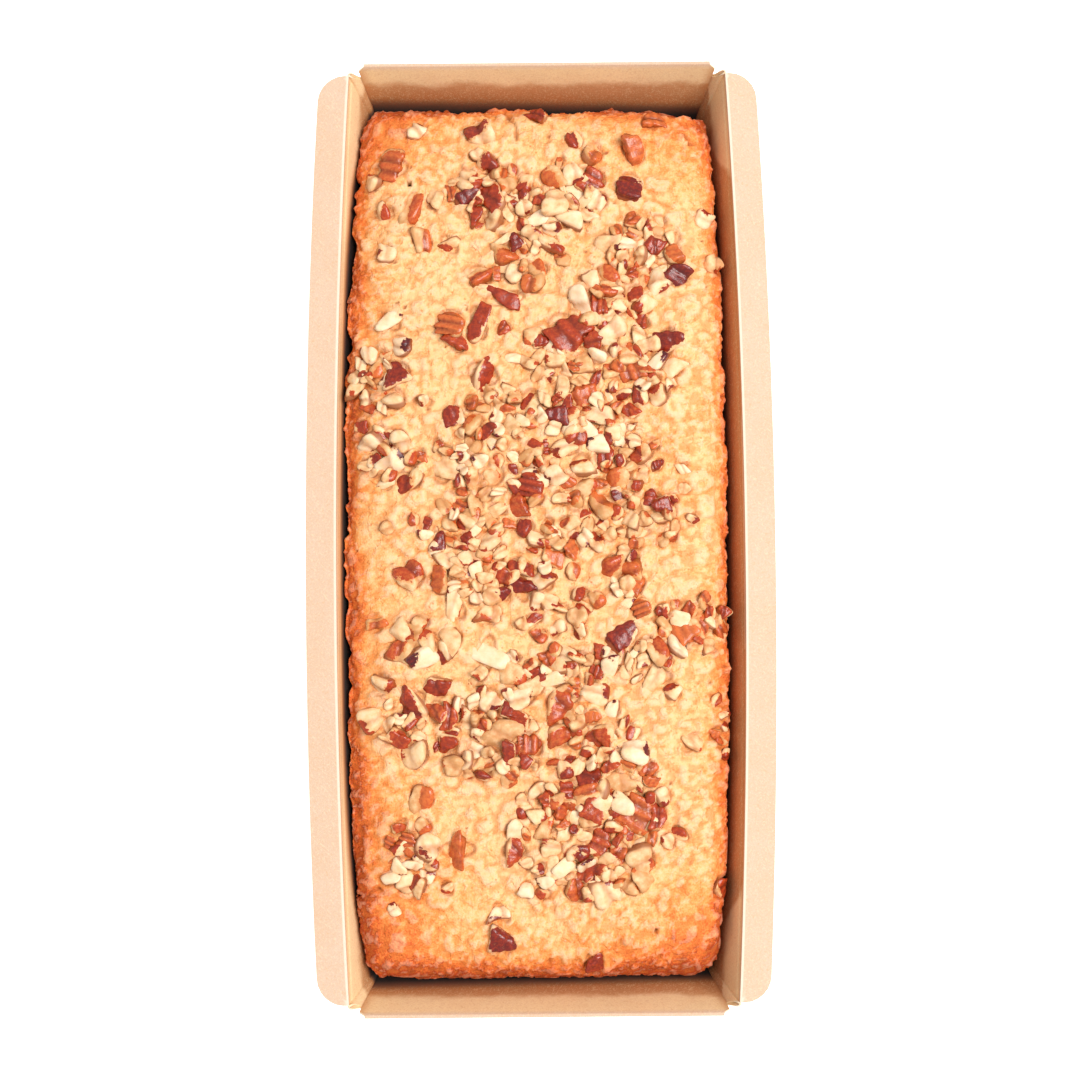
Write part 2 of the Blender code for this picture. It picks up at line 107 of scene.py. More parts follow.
# %% Light, sky and floor
SKY_STRENGTH = 0.62
PANEL_SIZE = 1.5
PANEL_SPOT = Vector((1.2, 0.05, 2.5))
PANEL_POWER = 80.0
PANEL_COLOUR = (1.0, 0.985, 0.96)
FLOOR_HALF = 3.0
FLOOR_GLOW = 0.8
FLOOR_TONE = (0.95, 0.95, 0.95, 1.0)
WHITE = (1.0, 1.0, 1.0, 1.0)


def set_inputs(node, values):
    """Give some of a node's inputs a value, by name."""
    for key, value in values.items():
        node.inputs[key].default_value = value


def set_light():
    """One large soft panel, and a plain white sky."""
    data = bpy.data.lights.new("soft_panel", "AREA")
    data.size = PANEL_SIZE
    data.energy = PANEL_POWER
    data.color = PANEL_COLOUR
    panel = link(bpy.data.objects.new("soft_panel", data))
    panel.location = PANEL_SPOT
    panel.rotation_euler = (AIM - PANEL_SPOT).to_track_quat("-Z", "Y").to_euler()
    world = bpy.data.worlds.new("white_sky")
    world.use_nodes = True
    set_inputs(world.node_tree.nodes["Background"], {"Color": WHITE, "Strength": SKY_STRENGTH})
    bpy.context.scene.world = world
    bpy.context.scene.view_settings.view_transform = "Standard"


def set_floor():
    """A pale table top that glows a little, so that it stays white round the tray."""
    bpy.ops.mesh.primitive_plane_add(size=2 * FLOOR_HALF, location=(0.0, 0.0, tray_low[2]))
    floor = bpy.context.object
    floor.name = "white_table"
    paint = bpy.data.materials.new("white_table")
    paint.use_nodes = True
    set_inputs(paint.node_tree.nodes["Principled BSDF"], {
        "Base Color": FLOOR_TONE, "Roughness": 0.9, "Emission Color": WHITE, "Emission Strength": FLOOR_GLOW})
    floor.data.materials.append(paint)


set_light()
set_floor()

# %% [markdown]
# ## Small helpers for materials
#
# Each finish is a tree of nodes. One helper adds a node and plugs its inputs in, and the
# others are the steps that come back in every finish: arithmetic, ranges, colour ramps,
# layers of paint and noise.

# %% Node helpers


def add(tree, kind, inputs=None, **settings):
    """Add a node, set its properties, and give each input a value or a link."""
    node = tree.nodes.new(kind)
    for key, value in settings.items():
        setattr(node, key, value)
    for key, value in (inputs or {}).items():
        if isinstance(value, bpy.types.NodeSocket):
            tree.links.new(value, node.inputs[key])
        else:
            node.inputs[key].default_value = value
    return node


def math_node(tree, operation, a, b=0.0, clamp=False):
    """One step of arithmetic on two values."""
    return add(tree, "ShaderNodeMath", {0: a, 1: b}, operation=operation, use_clamp=clamp).outputs[0]


def times(tree, a, b):
    """Two values multiplied."""
    return math_node(tree, "MULTIPLY", a, b)


def plus(tree, a, b, clamp=False):
    """Two values added."""
    return math_node(tree, "ADD", a, b, clamp)


def remap(tree, value, low, high, to_low=0.0, to_high=1.0):
    """Stretch a value from one range to another, with soft ends."""
    inputs = {"Value": value, "From Min": low, "From Max": high, "To Min": to_low, "To Max": to_high}
    return add(tree, "ShaderNodeMapRange", inputs, interpolation_type="SMOOTHSTEP").outputs["Result"]


def about_half(tree, value, share):
    """Noise round 0.5 turned into a shift round 0 of the given size."""
    return times(tree, math_node(tree, "SUBTRACT", value, 0.5), share)


def ramp(tree, value, stops):
    """A colour for each value, blended between (position, colour) stops."""
    node = add(tree, "ShaderNodeValToRGB", {"Fac": value})
    band = node.color_ramp
    while len(band.elements) < len(stops):
        band.elements.new(1.0)
    for element, (place, colour) in zip(band.elements, stops):
        element.position = place
        element.color = (*colour, 1.0)
    return node.outputs["Color"]


def mix(tree, share, a, b, blend="MIX"):
    """Blend two colours, each a link or an (r, g, b)."""
    node = add(tree, "ShaderNodeMix", data_type="RGBA", blend_type=blend)
    for slot, value in ((0, share), (6, a), (7, b)):
        if isinstance(value, bpy.types.NodeSocket):
            tree.links.new(value, node.inputs[slot])
        elif isinstance(value, tuple):
            node.inputs[slot].default_value = (*value, 1.0)
        else:
            node.inputs[slot].default_value = value
    return node.outputs[2]


def cover(tree, under, paint, value, low, high, most=1.0):
    """Lay a paint over a colour, from none where the value is low to most where it is high."""
    return mix(tree, remap(tree, value, low, high, 0.0, most), under, paint)


def speckle(tree, place, size, detail=2.0, roughness=0.5):
    """Soft noise whose blotches are about the given size across."""
    inputs = {"Vector": place, "Scale": 1.0 / size, "Detail": detail, "Roughness": roughness}
    return add(tree, "ShaderNodeTexNoise", inputs).outputs["Fac"]


def attribute(tree, name):
    """A value stored on the mesh."""
    return add(tree, "ShaderNodeAttribute", attribute_name=name).outputs["Fac"]


def new_finish(name, roughness):
    """A material with its tree, its shader and the Object coordinates."""
    finish = bpy.data.materials.new(name)
    finish.use_nodes = True
    tree = finish.node_tree
    shader = tree.nodes["Principled BSDF"]
    shader.inputs["Roughness"].default_value = roughness
    place = add(tree, "ShaderNodeTexCoord").outputs["Object"]
    return finish, tree, shader, place


def bump(tree, shader, height, distance, strength=1.0):
    """Tilt the light on a surface as if it rose by the height times the distance."""
    inputs = {"Height": height, "Distance": distance, "Strength": strength}
    node = add(tree, "ShaderNodeBump", inputs)
    tree.links.new(node.outputs["Normal"], shader.inputs["Normal"])


def soften(shader, gloss, share, radius, depth):
    """Dull the shine, and let a share of the light into the surface."""
    set_inputs(shader, {"Specular IOR Level": gloss, "Subsurface Weight": share,
                        "Subsurface Radius": radius, "Subsurface Scale": depth})


# %% [markdown]
# ## Small helpers for meshes
#
# A mesh with many points is quick to work on as whole arrays, so these read its points and
# normals as arrays and put numbers and places back the same way.

# %% Mesh helpers


def soft_step(value, low, high):
    """0 below low, 1 above high, smooth between."""
    share = np.clip((value - low) / (high - low), 0.0, 1.0)
    return share * share * (3.0 - 2.0 * share)


def store(mesh, name, values):
    """Keep one number for each point of a mesh, for a material to read."""
    layer = mesh.attributes.new(name, "FLOAT", "POINT")
    layer.data.foreach_set("value", np.asarray(values, dtype=np.float32))


def points_of(mesh):
    """The mesh's points as an array."""
    flat = np.empty(3 * len(mesh.vertices), dtype=np.float32)
    mesh.vertices.foreach_get("co", flat)
    return flat.reshape(-1, 3).astype(float)


def normals_of(mesh):
    """The mesh's point normals as an array."""
    flat = np.empty(3 * len(mesh.vertices), dtype=np.float32)
    mesh.vertex_normals.foreach_get("vector", flat)
    return flat.reshape(-1, 3).astype(float)


def mesh_from(bm, name):
    """A mesh made from what was built, which is then let go."""
    mesh = bpy.data.meshes.new(name)
    bm.to_mesh(mesh)
    bm.free()
    return mesh


def apply_modifiers(item):
    """Keep the result of an object's modifiers as its plain mesh."""
    graph = bpy.context.evaluated_depsgraph_get()
    mesh = bpy.data.meshes.new_from_object(item.evaluated_get(graph))
    item.modifiers.clear()
    item.data = mesh


def keep_between(mesh, low, high):
    """Move points that are too low or too high back to the limit."""
    points = points_of(mesh)
    points[:, 2] = np.clip(points[:, 2], low, high)
    mesh.vertices.foreach_set("co", points.ravel())


# %% [markdown]
# ## The shape of the tray
#
# The tray is one sheet of kraft board: a straight-sided base, walls that lean outwards, long
# walls that bow, flanges turned out from the long walls, and end walls whose top is folded
# over. The same few sizes give both the board and the crust inside it, so they come first.

# %% Sizes of the tray
BOARD = 0.5 * MM
BASE_HALF_WIDTH = 34.0 * MM
BASE_HALF_LENGTH = 93.8 * MM
RIM_HEIGHT = 50.0 * MM
END_HALF_LENGTH = 112.5 * MM
SIDE_HALF_LENGTH = END_HALF_LENGTH - 3.1 * MM
SIDE_HALF_WIDTH = 45.1 * MM
SIDE_BOW = 3.0 * MM
END_HALF_WIDTH = 42.7 * MM
FOLD_HALF_WIDTH = 41.4 * MM
SHOULDER_DROP = 1.6 * MM
FLANGE_WIDTH = 7.0 * MM
FLANGE_DROP = 0.7 * MM
FLANGE_CORNER = 6.0 * MM
FLAP_DEPTH = 18.0 * MM
FLAP_TAPER = 4.5 * MM
FOLD_RADIUS = 0.85 * MM
GUSSET_WIDTH = 27.0 * MM
GUSSET_FOOT = 2.0 * MM


def side_crease(station, side):
    """Point of the crease between a long wall and its flange, for -1 to 1 along it."""
    x = SIDE_HALF_WIDTH + SIDE_BOW * (1.0 - station ** 2)
    return np.array((side * x, station * SIDE_HALF_LENGTH, RIM_HEIGHT - BOARD / 2))


def side_foot(station, side):
    """Point of the crease between the base and a long wall."""
    return np.array((side * BASE_HALF_WIDTH, station * BASE_HALF_LENGTH, BOARD / 2))


def end_half(level):
    """Half the width of an end wall at a share of its height."""
    return BASE_HALF_WIDTH + (END_HALF_WIDTH - BASE_HALF_WIDTH) * level


# %% [markdown]
# ## The space inside and the crust over it
#
# The cake fills the tray up to a small gap, so its sides follow the slopes of the walls. Its
# top rises from an uneven edge over a rounded shoulder to a low crown with soft lumps.

# %% Sizes of the cake
CAKE_GAP = 0.6 * MM
CAKE_FLOOR = cake_low[2]
CROWN_HEIGHT = 53.0 * MM
CROWN_FALL_ACROSS = 2.2 * MM
CROWN_FALL_ALONG = 3.6 * MM
EDGE_HEIGHT_SIDES = 42.8 * MM
EDGE_LEAN_SIDES = 3.3 * MM
EDGE_HEIGHT_ENDS = 34.5 * MM
EDGE_LEAN_ENDS = 1.5 * MM
SHOULDER_SIDES = 12.0 * MM
SHOULDER_ENDS = 15.0 * MM
CORNER_RADIUS_BASE = 2.5 * MM
CORNER_RADIUS_TOP = 6.5 * MM
LUMP_SIZE = 17.0 * MM
LUMP_HEIGHT = 0.8 * MM
COBBLE_SIZE = 6.5 * MM
COBBLE_HEIGHT = 0.45 * MM


def half_length(z):
    """Half the length of the space for the cake at height z."""
    rise = END_HALF_LENGTH - 2.0 * FOLD_RADIUS - BASE_HALF_LENGTH
    return BASE_HALF_LENGTH + rise * z / RIM_HEIGHT - BOARD / 2 - CAKE_GAP


def half_width(y, z):
    """Half the width of that space at a place along it and a height."""
    rise = z / RIM_HEIGHT
    reach = BASE_HALF_LENGTH + (SIDE_HALF_LENGTH - BASE_HALF_LENGTH) * rise
    station = np.minimum(1.0, np.abs(y) / reach)
    flare = SIDE_HALF_WIDTH - BASE_HALF_WIDTH + SIDE_BOW * (1.0 - station ** 2)
    return BASE_HALF_WIDTH + flare * rise - BOARD / 2 - CAKE_GAP


def edge_height(u, v):
    """Height of the cake's top edge, round an outline given as u and v from -1 to 1."""
    sides = EDGE_HEIGHT_SIDES - EDGE_LEAN_SIDES * u
    ends = EDGE_HEIGHT_ENDS - EDGE_LEAN_ENDS * u
    return sides + (ends - sides) * np.abs(v) ** 5


def shoulder(distance, reach):
    """Share of the rise to the crown at a distance in from the edge: a quarter round."""
    short = 1.0 - np.minimum(1.0, distance / reach)
    return np.sqrt(1.0 - short ** 2)


def inset(x, y):
    """How far a point lies in from the long sides and from the ends of the crust."""
    in_x = half_width(y, EDGE_HEIGHT_SIDES) - np.abs(x)
    in_y = half_length(EDGE_HEIGHT_ENDS) - np.abs(y)
    return np.maximum(0.0, in_x), np.maximum(0.0, in_y)


def relief(x, y):
    """Soft lumps of the risen crust at one point, as a height."""
    lump = noise.noise(Vector((x, y, 0.3 * LUMP_SIZE)) / LUMP_SIZE)
    cobble = noise.noise(Vector((x, y, 1.7 * COBBLE_SIZE)) / COBBLE_SIZE)
    return LUMP_HEIGHT * lump + COBBLE_HEIGHT * cobble


def outline_place(x, y):
    """Where a point lies between the middle and the crust's outline, from -1 to 1 each way."""
    u = np.clip(x / half_width(y, EDGE_HEIGHT_SIDES), -1.0, 1.0)
    v = np.clip(y / half_length(EDGE_HEIGHT_ENDS), -1.0, 1.0)
    return u, v


def crust_height(x, y, lumps=None):
    """Height of the cake's crust above a point of the base, or above an array of them."""
    u, v = outline_place(x, y)
    edge = edge_height(u, v)
    in_x, in_y = inset(x, y)
    rise = shoulder(in_x, SHOULDER_SIDES) * shoulder(in_y, SHOULDER_ENDS)
    crown = CROWN_HEIGHT - CROWN_FALL_ACROSS * u * u - CROWN_FALL_ALONG * v * v
    return edge + (crown + (relief(x, y) if lumps is None else lumps) - edge) * rise


print("crust at the middle, mm:", round(crust_height(0.0, 0.0) / MM, 1))

# %% [markdown]
# ## The tray's board
#
# A folded tray is best made as one thin sheet that is given its thickness afterwards, just
# as the real one is one sheet with creases. Rows of points are lofted into panels, the
# panels are merged along their creases, and Solidify adds the board's thickness. Where a
# long wall meets an end wall, a narrow strip rounds the corner and goes behind the end
# wall, and the board's second layer shows just past it. The cut edge gets a material slot
# of its own, because raw board is paler there.

# %% A sheet from rows of points
SHEET = 0.42 * MM


def add_sheet(bm, rows):
    """Loft a sheet of quads through rows of points of equal length."""
    lines = [[bm.verts.new(point) for point in row] for row in rows]
    for near, far in zip(lines, lines[1:]):
        for i in range(len(near) - 1):
            bm.faces.new((near[i], near[i + 1], far[i + 1], far[i]))


# %% [markdown]
# ## Long walls
#
# A long wall is ruled between two lines, the straight crease at its foot and the bowed one
# at its rim. Its rows crowd together at the score line near the rim, where the board bends
# a little, and the flange's corners are rounded.

# %% Long walls
BOARD_CELL = 3.0 * MM
WALL_LEVELS = 16
ARC_STEPS = 6
FLANGE_STEPS = (0.045, 0.07, 0.3, 0.6, 1.0)
SCORE_DROP = 2.1 * MM
SCORE_STEP = 0.13 * MM
SCORE_LEVELS = (0.12, 0.5, 1.2, 1.95, 2.1, 2.3)


def side_stations():
    """Places along a long wall, closer together where the flange's corner is round."""
    arc = [math.radians(90.0 * i / ARC_STEPS) for i in range(ARC_STEPS + 1)]
    rounded = [SIDE_HALF_LENGTH - FLANGE_CORNER * (1.0 - math.cos(a)) for a in arc]
    middle = SIDE_HALF_LENGTH - FLANGE_CORNER
    count = round(2.0 * middle / BOARD_CELL)
    straight = [middle - 2.0 * middle * i / count for i in range(1, count)]
    places = rounded + straight + [-y for y in reversed(rounded)]
    return [y / SIDE_HALF_LENGTH for y in reversed(places)]


def flange_width(station):
    """Width of the flange at a station, less where its outer corner is rounded."""
    to_end = SIDE_HALF_LENGTH * (1.0 - abs(station))
    inside = max(0.0, FLANGE_CORNER - to_end)
    return FLANGE_WIDTH - FLANGE_CORNER + math.sqrt(FLANGE_CORNER ** 2 - inside ** 2)


def wall_levels():
    """Shares of the way up a wall, with some close together at the score line and the rim."""
    below = 1.0 - 3.0 * MM / RIM_HEIGHT
    even = [below * i / WALL_LEVELS for i in range(WALL_LEVELS + 1)]
    return even + [1.0 - drop * MM / RIM_HEIGHT for drop in reversed(SCORE_LEVELS)] + [1.0]


def side_point(station, side, level):
    """Point of a long wall; between the score line and the rim it stands a little steeper."""
    point = side_foot(station, side) * (1.0 - level) + side_crease(station, side) * level
    drop = RIM_HEIGHT * (1.0 - level)
    if drop <= SCORE_DROP + 0.01 * MM:
        point[0] += side * SCORE_STEP * drop / SCORE_DROP
    return point


def add_long_wall(bm, side):
    """A long wall ruled from the straight base crease to the bowed rim, with its flange."""
    stations = side_stations()
    rows = [[side_point(station, side, level) for station in stations] for level in wall_levels()]
    for share in FLANGE_STEPS:
        row = []
        for station in stations:
            width = share * flange_width(station)
            row.append(side_crease(station, side)
                       + np.array((side * width, 0.0, -FLANGE_DROP * width / FLANGE_WIDTH)))
        rows.append(row)
    add_sheet(bm, rows)


print("long wall:", len(wall_levels()), "rows of", len(side_stations()), "points")

# %% [markdown]
# ## End walls
#
# The top of an end wall is turned over outwards in one tight fold, and its flap lies against
# the outside. So the sheet is one run of rows: up the wall, round the fold and down again.

# %% End walls
TIGHT_FOLD = 0.26 * MM
FLAP_CLEAR = 0.95 * MM
FLAP_TURN = 0.2
FLAP_STEPS = (0.05, 0.1, 0.2, 0.4, 0.6, 0.8, 1.0)


def end_sheet(end):
    """Foot, directions and height of an end wall's sheet, whose folded rim is tight."""
    reach = tray_high[1] - SHEET / 2 - 2.0 * TIGHT_FOLD
    top = np.array((0.0, end * reach, RIM_HEIGHT - SHEET / 2 - TIGHT_FOLD))
    foot = np.array((0.0, end * BASE_HALF_LENGTH, BOARD / 2))
    height = np.linalg.norm(top - foot)
    up = (top - foot) / height
    out = np.array((0.0, end * up[2], -abs(up[1])))
    return foot, up, out, height


def end_edge(side, end, level):
    """Point of the upright edge of an end wall, at a share of its height."""
    foot, up, _, height = end_sheet(end)
    return foot + up * (level * (height - SHOULDER_DROP)) + np.array((side * end_half(level), 0.0, 0.0))


def add_end_wall(bm, end):
    """An end wall, its narrower folded rim and the flap turned down outside it."""
    foot, up, out, height = end_sheet(end)
    across = np.array((1.0, 0.0, 0.0))
    columns = round(2.0 * END_HALF_WIDTH / BOARD_CELL)
    shares = [2.0 * i / columns - 1.0 for i in range(columns + 1)]
    lines = []
    for level in wall_levels():
        lines.append((foot + up * (level * (height - SHOULDER_DROP)), end_half(level)))
    lines.append((foot + up * height, FOLD_HALF_WIDTH))
    centre = foot + up * height + out * TIGHT_FOLD
    for i in range(1, ARC_STEPS + 1):
        turn = math.pi * i / ARC_STEPS
        fold = centre - out * (TIGHT_FOLD * math.cos(turn)) + up * (TIGHT_FOLD * math.sin(turn))
        lines.append((fold, FOLD_HALF_WIDTH))
    for step in FLAP_STEPS:
        low = fold - up * (FLAP_DEPTH * step) + out * (FLAP_CLEAR * min(1.0, step / FLAP_TURN))
        lines.append((low, FOLD_HALF_WIDTH - FLAP_TAPER * step))
    add_sheet(bm, [[point + across * (share * half) for share in shares] for point, half in lines])


print("end wall, mm up the board:", round(end_sheet(1)[3] / MM, 1))

# %% [markdown]
# ## Corners and base
#
# The spare board at a corner goes behind the end wall, and its top edge curls, which shows
# from above as a thin lens. The base takes its columns and rows from the walls around it.

# %% Corners and base
CORNER_COLUMNS = 12
CURL_IN = 1.2 * MM
CURL_OUT = -0.5 * MM
CURL_START = 0.6
SECOND_GAP = 0.5 * MM
TUCK_BEHIND = 0.42 * MM
TUCK_UNDER = 0.15 * MM
TUCK_LEVEL = 0.935


def add_corner(bm, side, end, curl, start, behind=0.0):
    """A strip that rounds the corner from the long wall to behind the end wall, and curls
    by the given amount at its top. A second one lies a little behind the first."""
    _, _, out, _ = end_sheet(end)
    rows = []
    for level in wall_levels():
        if level < start:
            continue
        near = side_point(end, side, level)
        far = end_edge(side, end, TUCK_LEVEL * level) + out * TUCK_BEHIND
        far[0] -= side * TUCK_UNDER * level
        depth = curl * ((level - start) / (1.0 - start)) ** 5
        row = []
        for i in range(CORNER_COLUMNS + 1):
            turn = math.pi / 2 * i / CORNER_COLUMNS
            point = near.copy()
            point[0] += (far[0] - near[0]) * (1.0 - math.cos(turn))
            lens = math.sin(2.0 * turn) * math.sin(turn)
            gap = behind * (0.25 + 0.75 * math.sin(2.0 * turn))
            point[1] += (far[1] - near[1]) * math.sin(turn) + end * (depth * lens + gap)
            point[2] += (far[2] - near[2]) * math.sin(turn) ** 6
            row.append(point)
        rows.append(row)
    add_sheet(bm, rows)


def add_base(bm):
    """The flat base, with columns that meet the end walls and rows that meet the long ones."""
    columns = round(2.0 * END_HALF_WIDTH / BOARD_CELL)
    rows = []
    for station in side_stations():
        left, right = side_foot(station, -1), side_foot(station, 1)
        rows.append([left + (right - left) * (i / columns) for i in range(columns + 1)])
    add_sheet(bm, rows)


# %% [markdown]
# ## Kraft board as a finish
#
# Unbleached board is matt, tan and full of fine fibres. Where it is creased the surface
# fibres break and look paler. Butter has soaked into the inside of the walls close to the
# cake and left a darker band with a wavy upper edge. The band follows the cake, so the
# height above it is stored on the mesh, and the material only adds the waves. Shade and
# highlights are painted on too: the outside a shade darker, deep brown and then a near-black
# painted shadow in the gap beside the crust, a band of shade under the rim, and on each corner
# strip a highlight on the near side and a shadow line at the far edge. The creases, these
# painted marks and the outside are stored marks too.

# %% Board finish
KRAFT = (0.90, 0.67, 0.375)
# The outside of the board gets this colour: painted shade, darker than the inside.
KRAFT_OUTSIDE_SHADE = (0.69, 0.50, 0.372)
KRAFT_FIBRE = (0.66, 0.37, 0.18)
FIBRE_PALE = (0.95, 0.74, 0.50)
# Butter stain brown; the same brown also paints the shade band under the rim and the shadow line on the
# corner strips.
STAIN_AND_SHADE_BROWN = (0.50, 0.186, 0.052)
# Deep butter brown close to the crust, darkened further to stand for the shade there.
DEEP_STAIN_AND_GAP_SHADE = (0.16, 0.062, 0.030)
# Painted shadow: near-black for the deep gap between wall and crust.
GAP_PAINTED_SHADOW = (0.030, 0.022, 0.018)
# Pale cut-edge colour; it also paints the creases and the highlight on the near side of each corner strip.
CUT_EDGE_AND_STRIP_HIGHLIGHT = (0.82, 0.69, 0.55)
# Tip and turn of each direction of fibres, in radians
FIBRE_TURNS = ((0.6, 0.3), (-0.7, 1.2), (0.2, 2.3), (1.2, 0.8))


def hair_lines(tree, place):
    """Thin fibres in a few directions, from noise stretched along each."""
    lines = 0.0
    for tip, turn in FIBRE_TURNS:
        inputs = {"Vector": place, "Rotation": (0.0, tip, turn), "Scale": (1.0, 0.16, 0.16)}
        along = add(tree, "ShaderNodeMapping", inputs, vector_type="TEXTURE").outputs["Vector"]
        thin = remap(tree, speckle(tree, along, 2.2 * MM, 2.0, 0.6), 0.60, 0.68)
        lines = math_node(tree, "MAXIMUM", thin, lines)
    return lines


def board_finish():
    """Kraft board with fibres, pale creases, butter stains, and painted shade and highlights."""
    finish, tree, shader, place = new_finish("kraft_board", 0.82)
    hair = hair_lines(tree, place)
    flake = speckle(tree, place, 0.4 * MM, 2.0, 0.6)
    cloud_tone = speckle(tree, place, 11 * MM, 3.0)
    # Painted shade: the outside of the board is given a darker tone.
    ground = mix(tree, attribute(tree, "outside"), KRAFT, KRAFT_OUTSIDE_SHADE)
    colour = cover(tree, ground, KRAFT_FIBRE, flake, 0.60, 0.35, 0.30)
    colour = cover(tree, colour, KRAFT_FIBRE, cloud_tone, 0.35, 0.7, 0.16)
    colour = mix(tree, times(tree, hair, 0.35), colour, FIBRE_PALE)
    dark_hair = speckle(tree, place, 0.9 * MM, 4.0, 0.7)
    colour = cover(tree, colour, KRAFT_FIBRE, dark_hair, 0.44, 0.34, 0.35)
    wave = speckle(tree, place, 8 * MM, 3.0, 0.6)
    above = plus(tree, attribute(tree, "stain"), about_half(tree, wave, 6.0))
    faint = remap(tree, above, 1.7, -1.7, 0.0, 0.80)
    to_crust = attribute(tree, "to_crust")
    colour = mix(tree, faint, colour, STAIN_AND_SHADE_BROWN)
    colour = cover(tree, colour, STAIN_AND_SHADE_BROWN, to_crust, 7.5, 1.2, 0.85)
    lit_hair = times(tree, times(tree, hair, faint), 0.45)
    colour = mix(tree, lit_hair, colour, KRAFT)
    # Painted shade: deep brown, then near-black, towards the gap beside the crust.
    colour = cover(tree, colour, DEEP_STAIN_AND_GAP_SHADE, to_crust, 3.2, -0.6)
    colour = cover(tree, colour, GAP_PAINTED_SHADOW, to_crust, 0.2, -2.6)
    creases_and_painted_light = attribute(tree, "creases_and_painted_light")
    # Pale creases, and the painted highlight on the corner strips.
    colour = cover(tree, colour, CUT_EDGE_AND_STRIP_HIGHLIGHT, creases_and_painted_light, 0.0, 1.0)
    # Below zero: painted shade under the rim crease and along the corner strips' far edges.
    colour = cover(tree, colour, STAIN_AND_SHADE_BROWN, creases_and_painted_light, 0.0, -1.0, 0.7)
    tree.links.new(colour, shader.inputs["Base Color"])
    bump(tree, shader, plus(tree, hair, flake), 0.10 * MM, 0.35)
    return finish


def edge_finish():
    """The raw cut edge of the board, pale and a little ragged."""
    finish, tree, shader, place = new_finish("board_cut_edge", 0.9)
    layer = speckle(tree, place, 0.4 * MM, 2.0)
    tree.links.new(cover(tree, CUT_EDGE_AND_STRIP_HIGHLIGHT, KRAFT, layer, 0.3, 0.7), shader.inputs["Base Color"])
    bump(tree, shader, layer, 0.1 * MM, 0.6)
    return finish


kraft_board = board_finish()
board_edge = edge_finish()
print("board finish:", len(kraft_board.node_tree.nodes), "nodes")

# %% [markdown]
# ## Building the board and marking it
#
# The panels are joined into one sheet, and the folded corners are a second piece outside
# it. Whatever the finish can't work out by itself is measured here and stored on the points:
# the height above the butter line and above the crust, the creases together with the painted
# shade and highlights, and which side is out, where shade is painted.

# %% Build the board
SHARP_TURN = math.radians(42.0)
STAIN_FAR = 40.0
GUSSET_DROP = 4.4 * MM
GUSSET_LAYERS = (0.46 * MM, 0.9 * MM)
CREASE_HALF = 0.36 * MM
CREASE_DROP = 0.3 * MM
SHADE_DROP = 0.9 * MM
SCORE_HALF = 0.12 * MM
# A painted highlight on each corner strip's near side, and a painted shadow line at its far edge.
STRIP_PAINTED_HIGHLIGHT = 0.12
STRIP_PAINTED_SHADOW = 1.0
# These two narrow the bands of stain and painted gap shade near the crust: on the left wall, and on both long
# walls near the corners.
LEFT_STAIN_AND_SHADE_SQUEEZE = 2.2
CORNER_STAIN_AND_SHADE_LIFT = 5.0
TIDE_LEFT = 42.4 * MM
TIDE_LEFT_FALL = 2.0 * MM
TIDE_RIGHT = 51.5 * MM
TIDE_RIGHT_FALL = 14.0 * MM
TIDE_FAR_END = 42.9 * MM
TIDE_NEAR_END = 41.2 * MM


def finish_board(item):
    """Give a sheet its thickness, with the cut edge in the second slot."""
    item.data.materials.append(kraft_board)
    item.data.materials.append(board_edge)
    solid = item.modifiers.new("board", "SOLIDIFY")
    solid.thickness = SHEET
    solid.offset = 0.0
    solid.material_offset_rim = 1
    apply_modifiers(item)
    item.data.shade_smooth()
    item.data.set_sharp_from_angle(angle=SHARP_TURN)


def tide_line(x, y):
    """Height that the butter has reached on each wall, from the inside."""
    left = TIDE_LEFT - TIDE_LEFT_FALL * soft_step(np.abs(y), 78 * MM, 104 * MM)
    right = TIDE_RIGHT - TIDE_RIGHT_FALL * soft_step(np.abs(y), 80 * MM, 95 * MM)
    sides = np.where(x < 0.0, left, right)
    ends = np.where(y > 0.0, TIDE_FAR_END, TIDE_NEAR_END)
    at_end = np.abs(y) > BASE_HALF_LENGTH + (END_HALF_LENGTH - BASE_HALF_LENGTH) * 0.6
    on_end = at_end & (np.abs(x) < END_HALF_WIDTH - 1.0 * MM)
    return np.where(on_end, ends, sides)


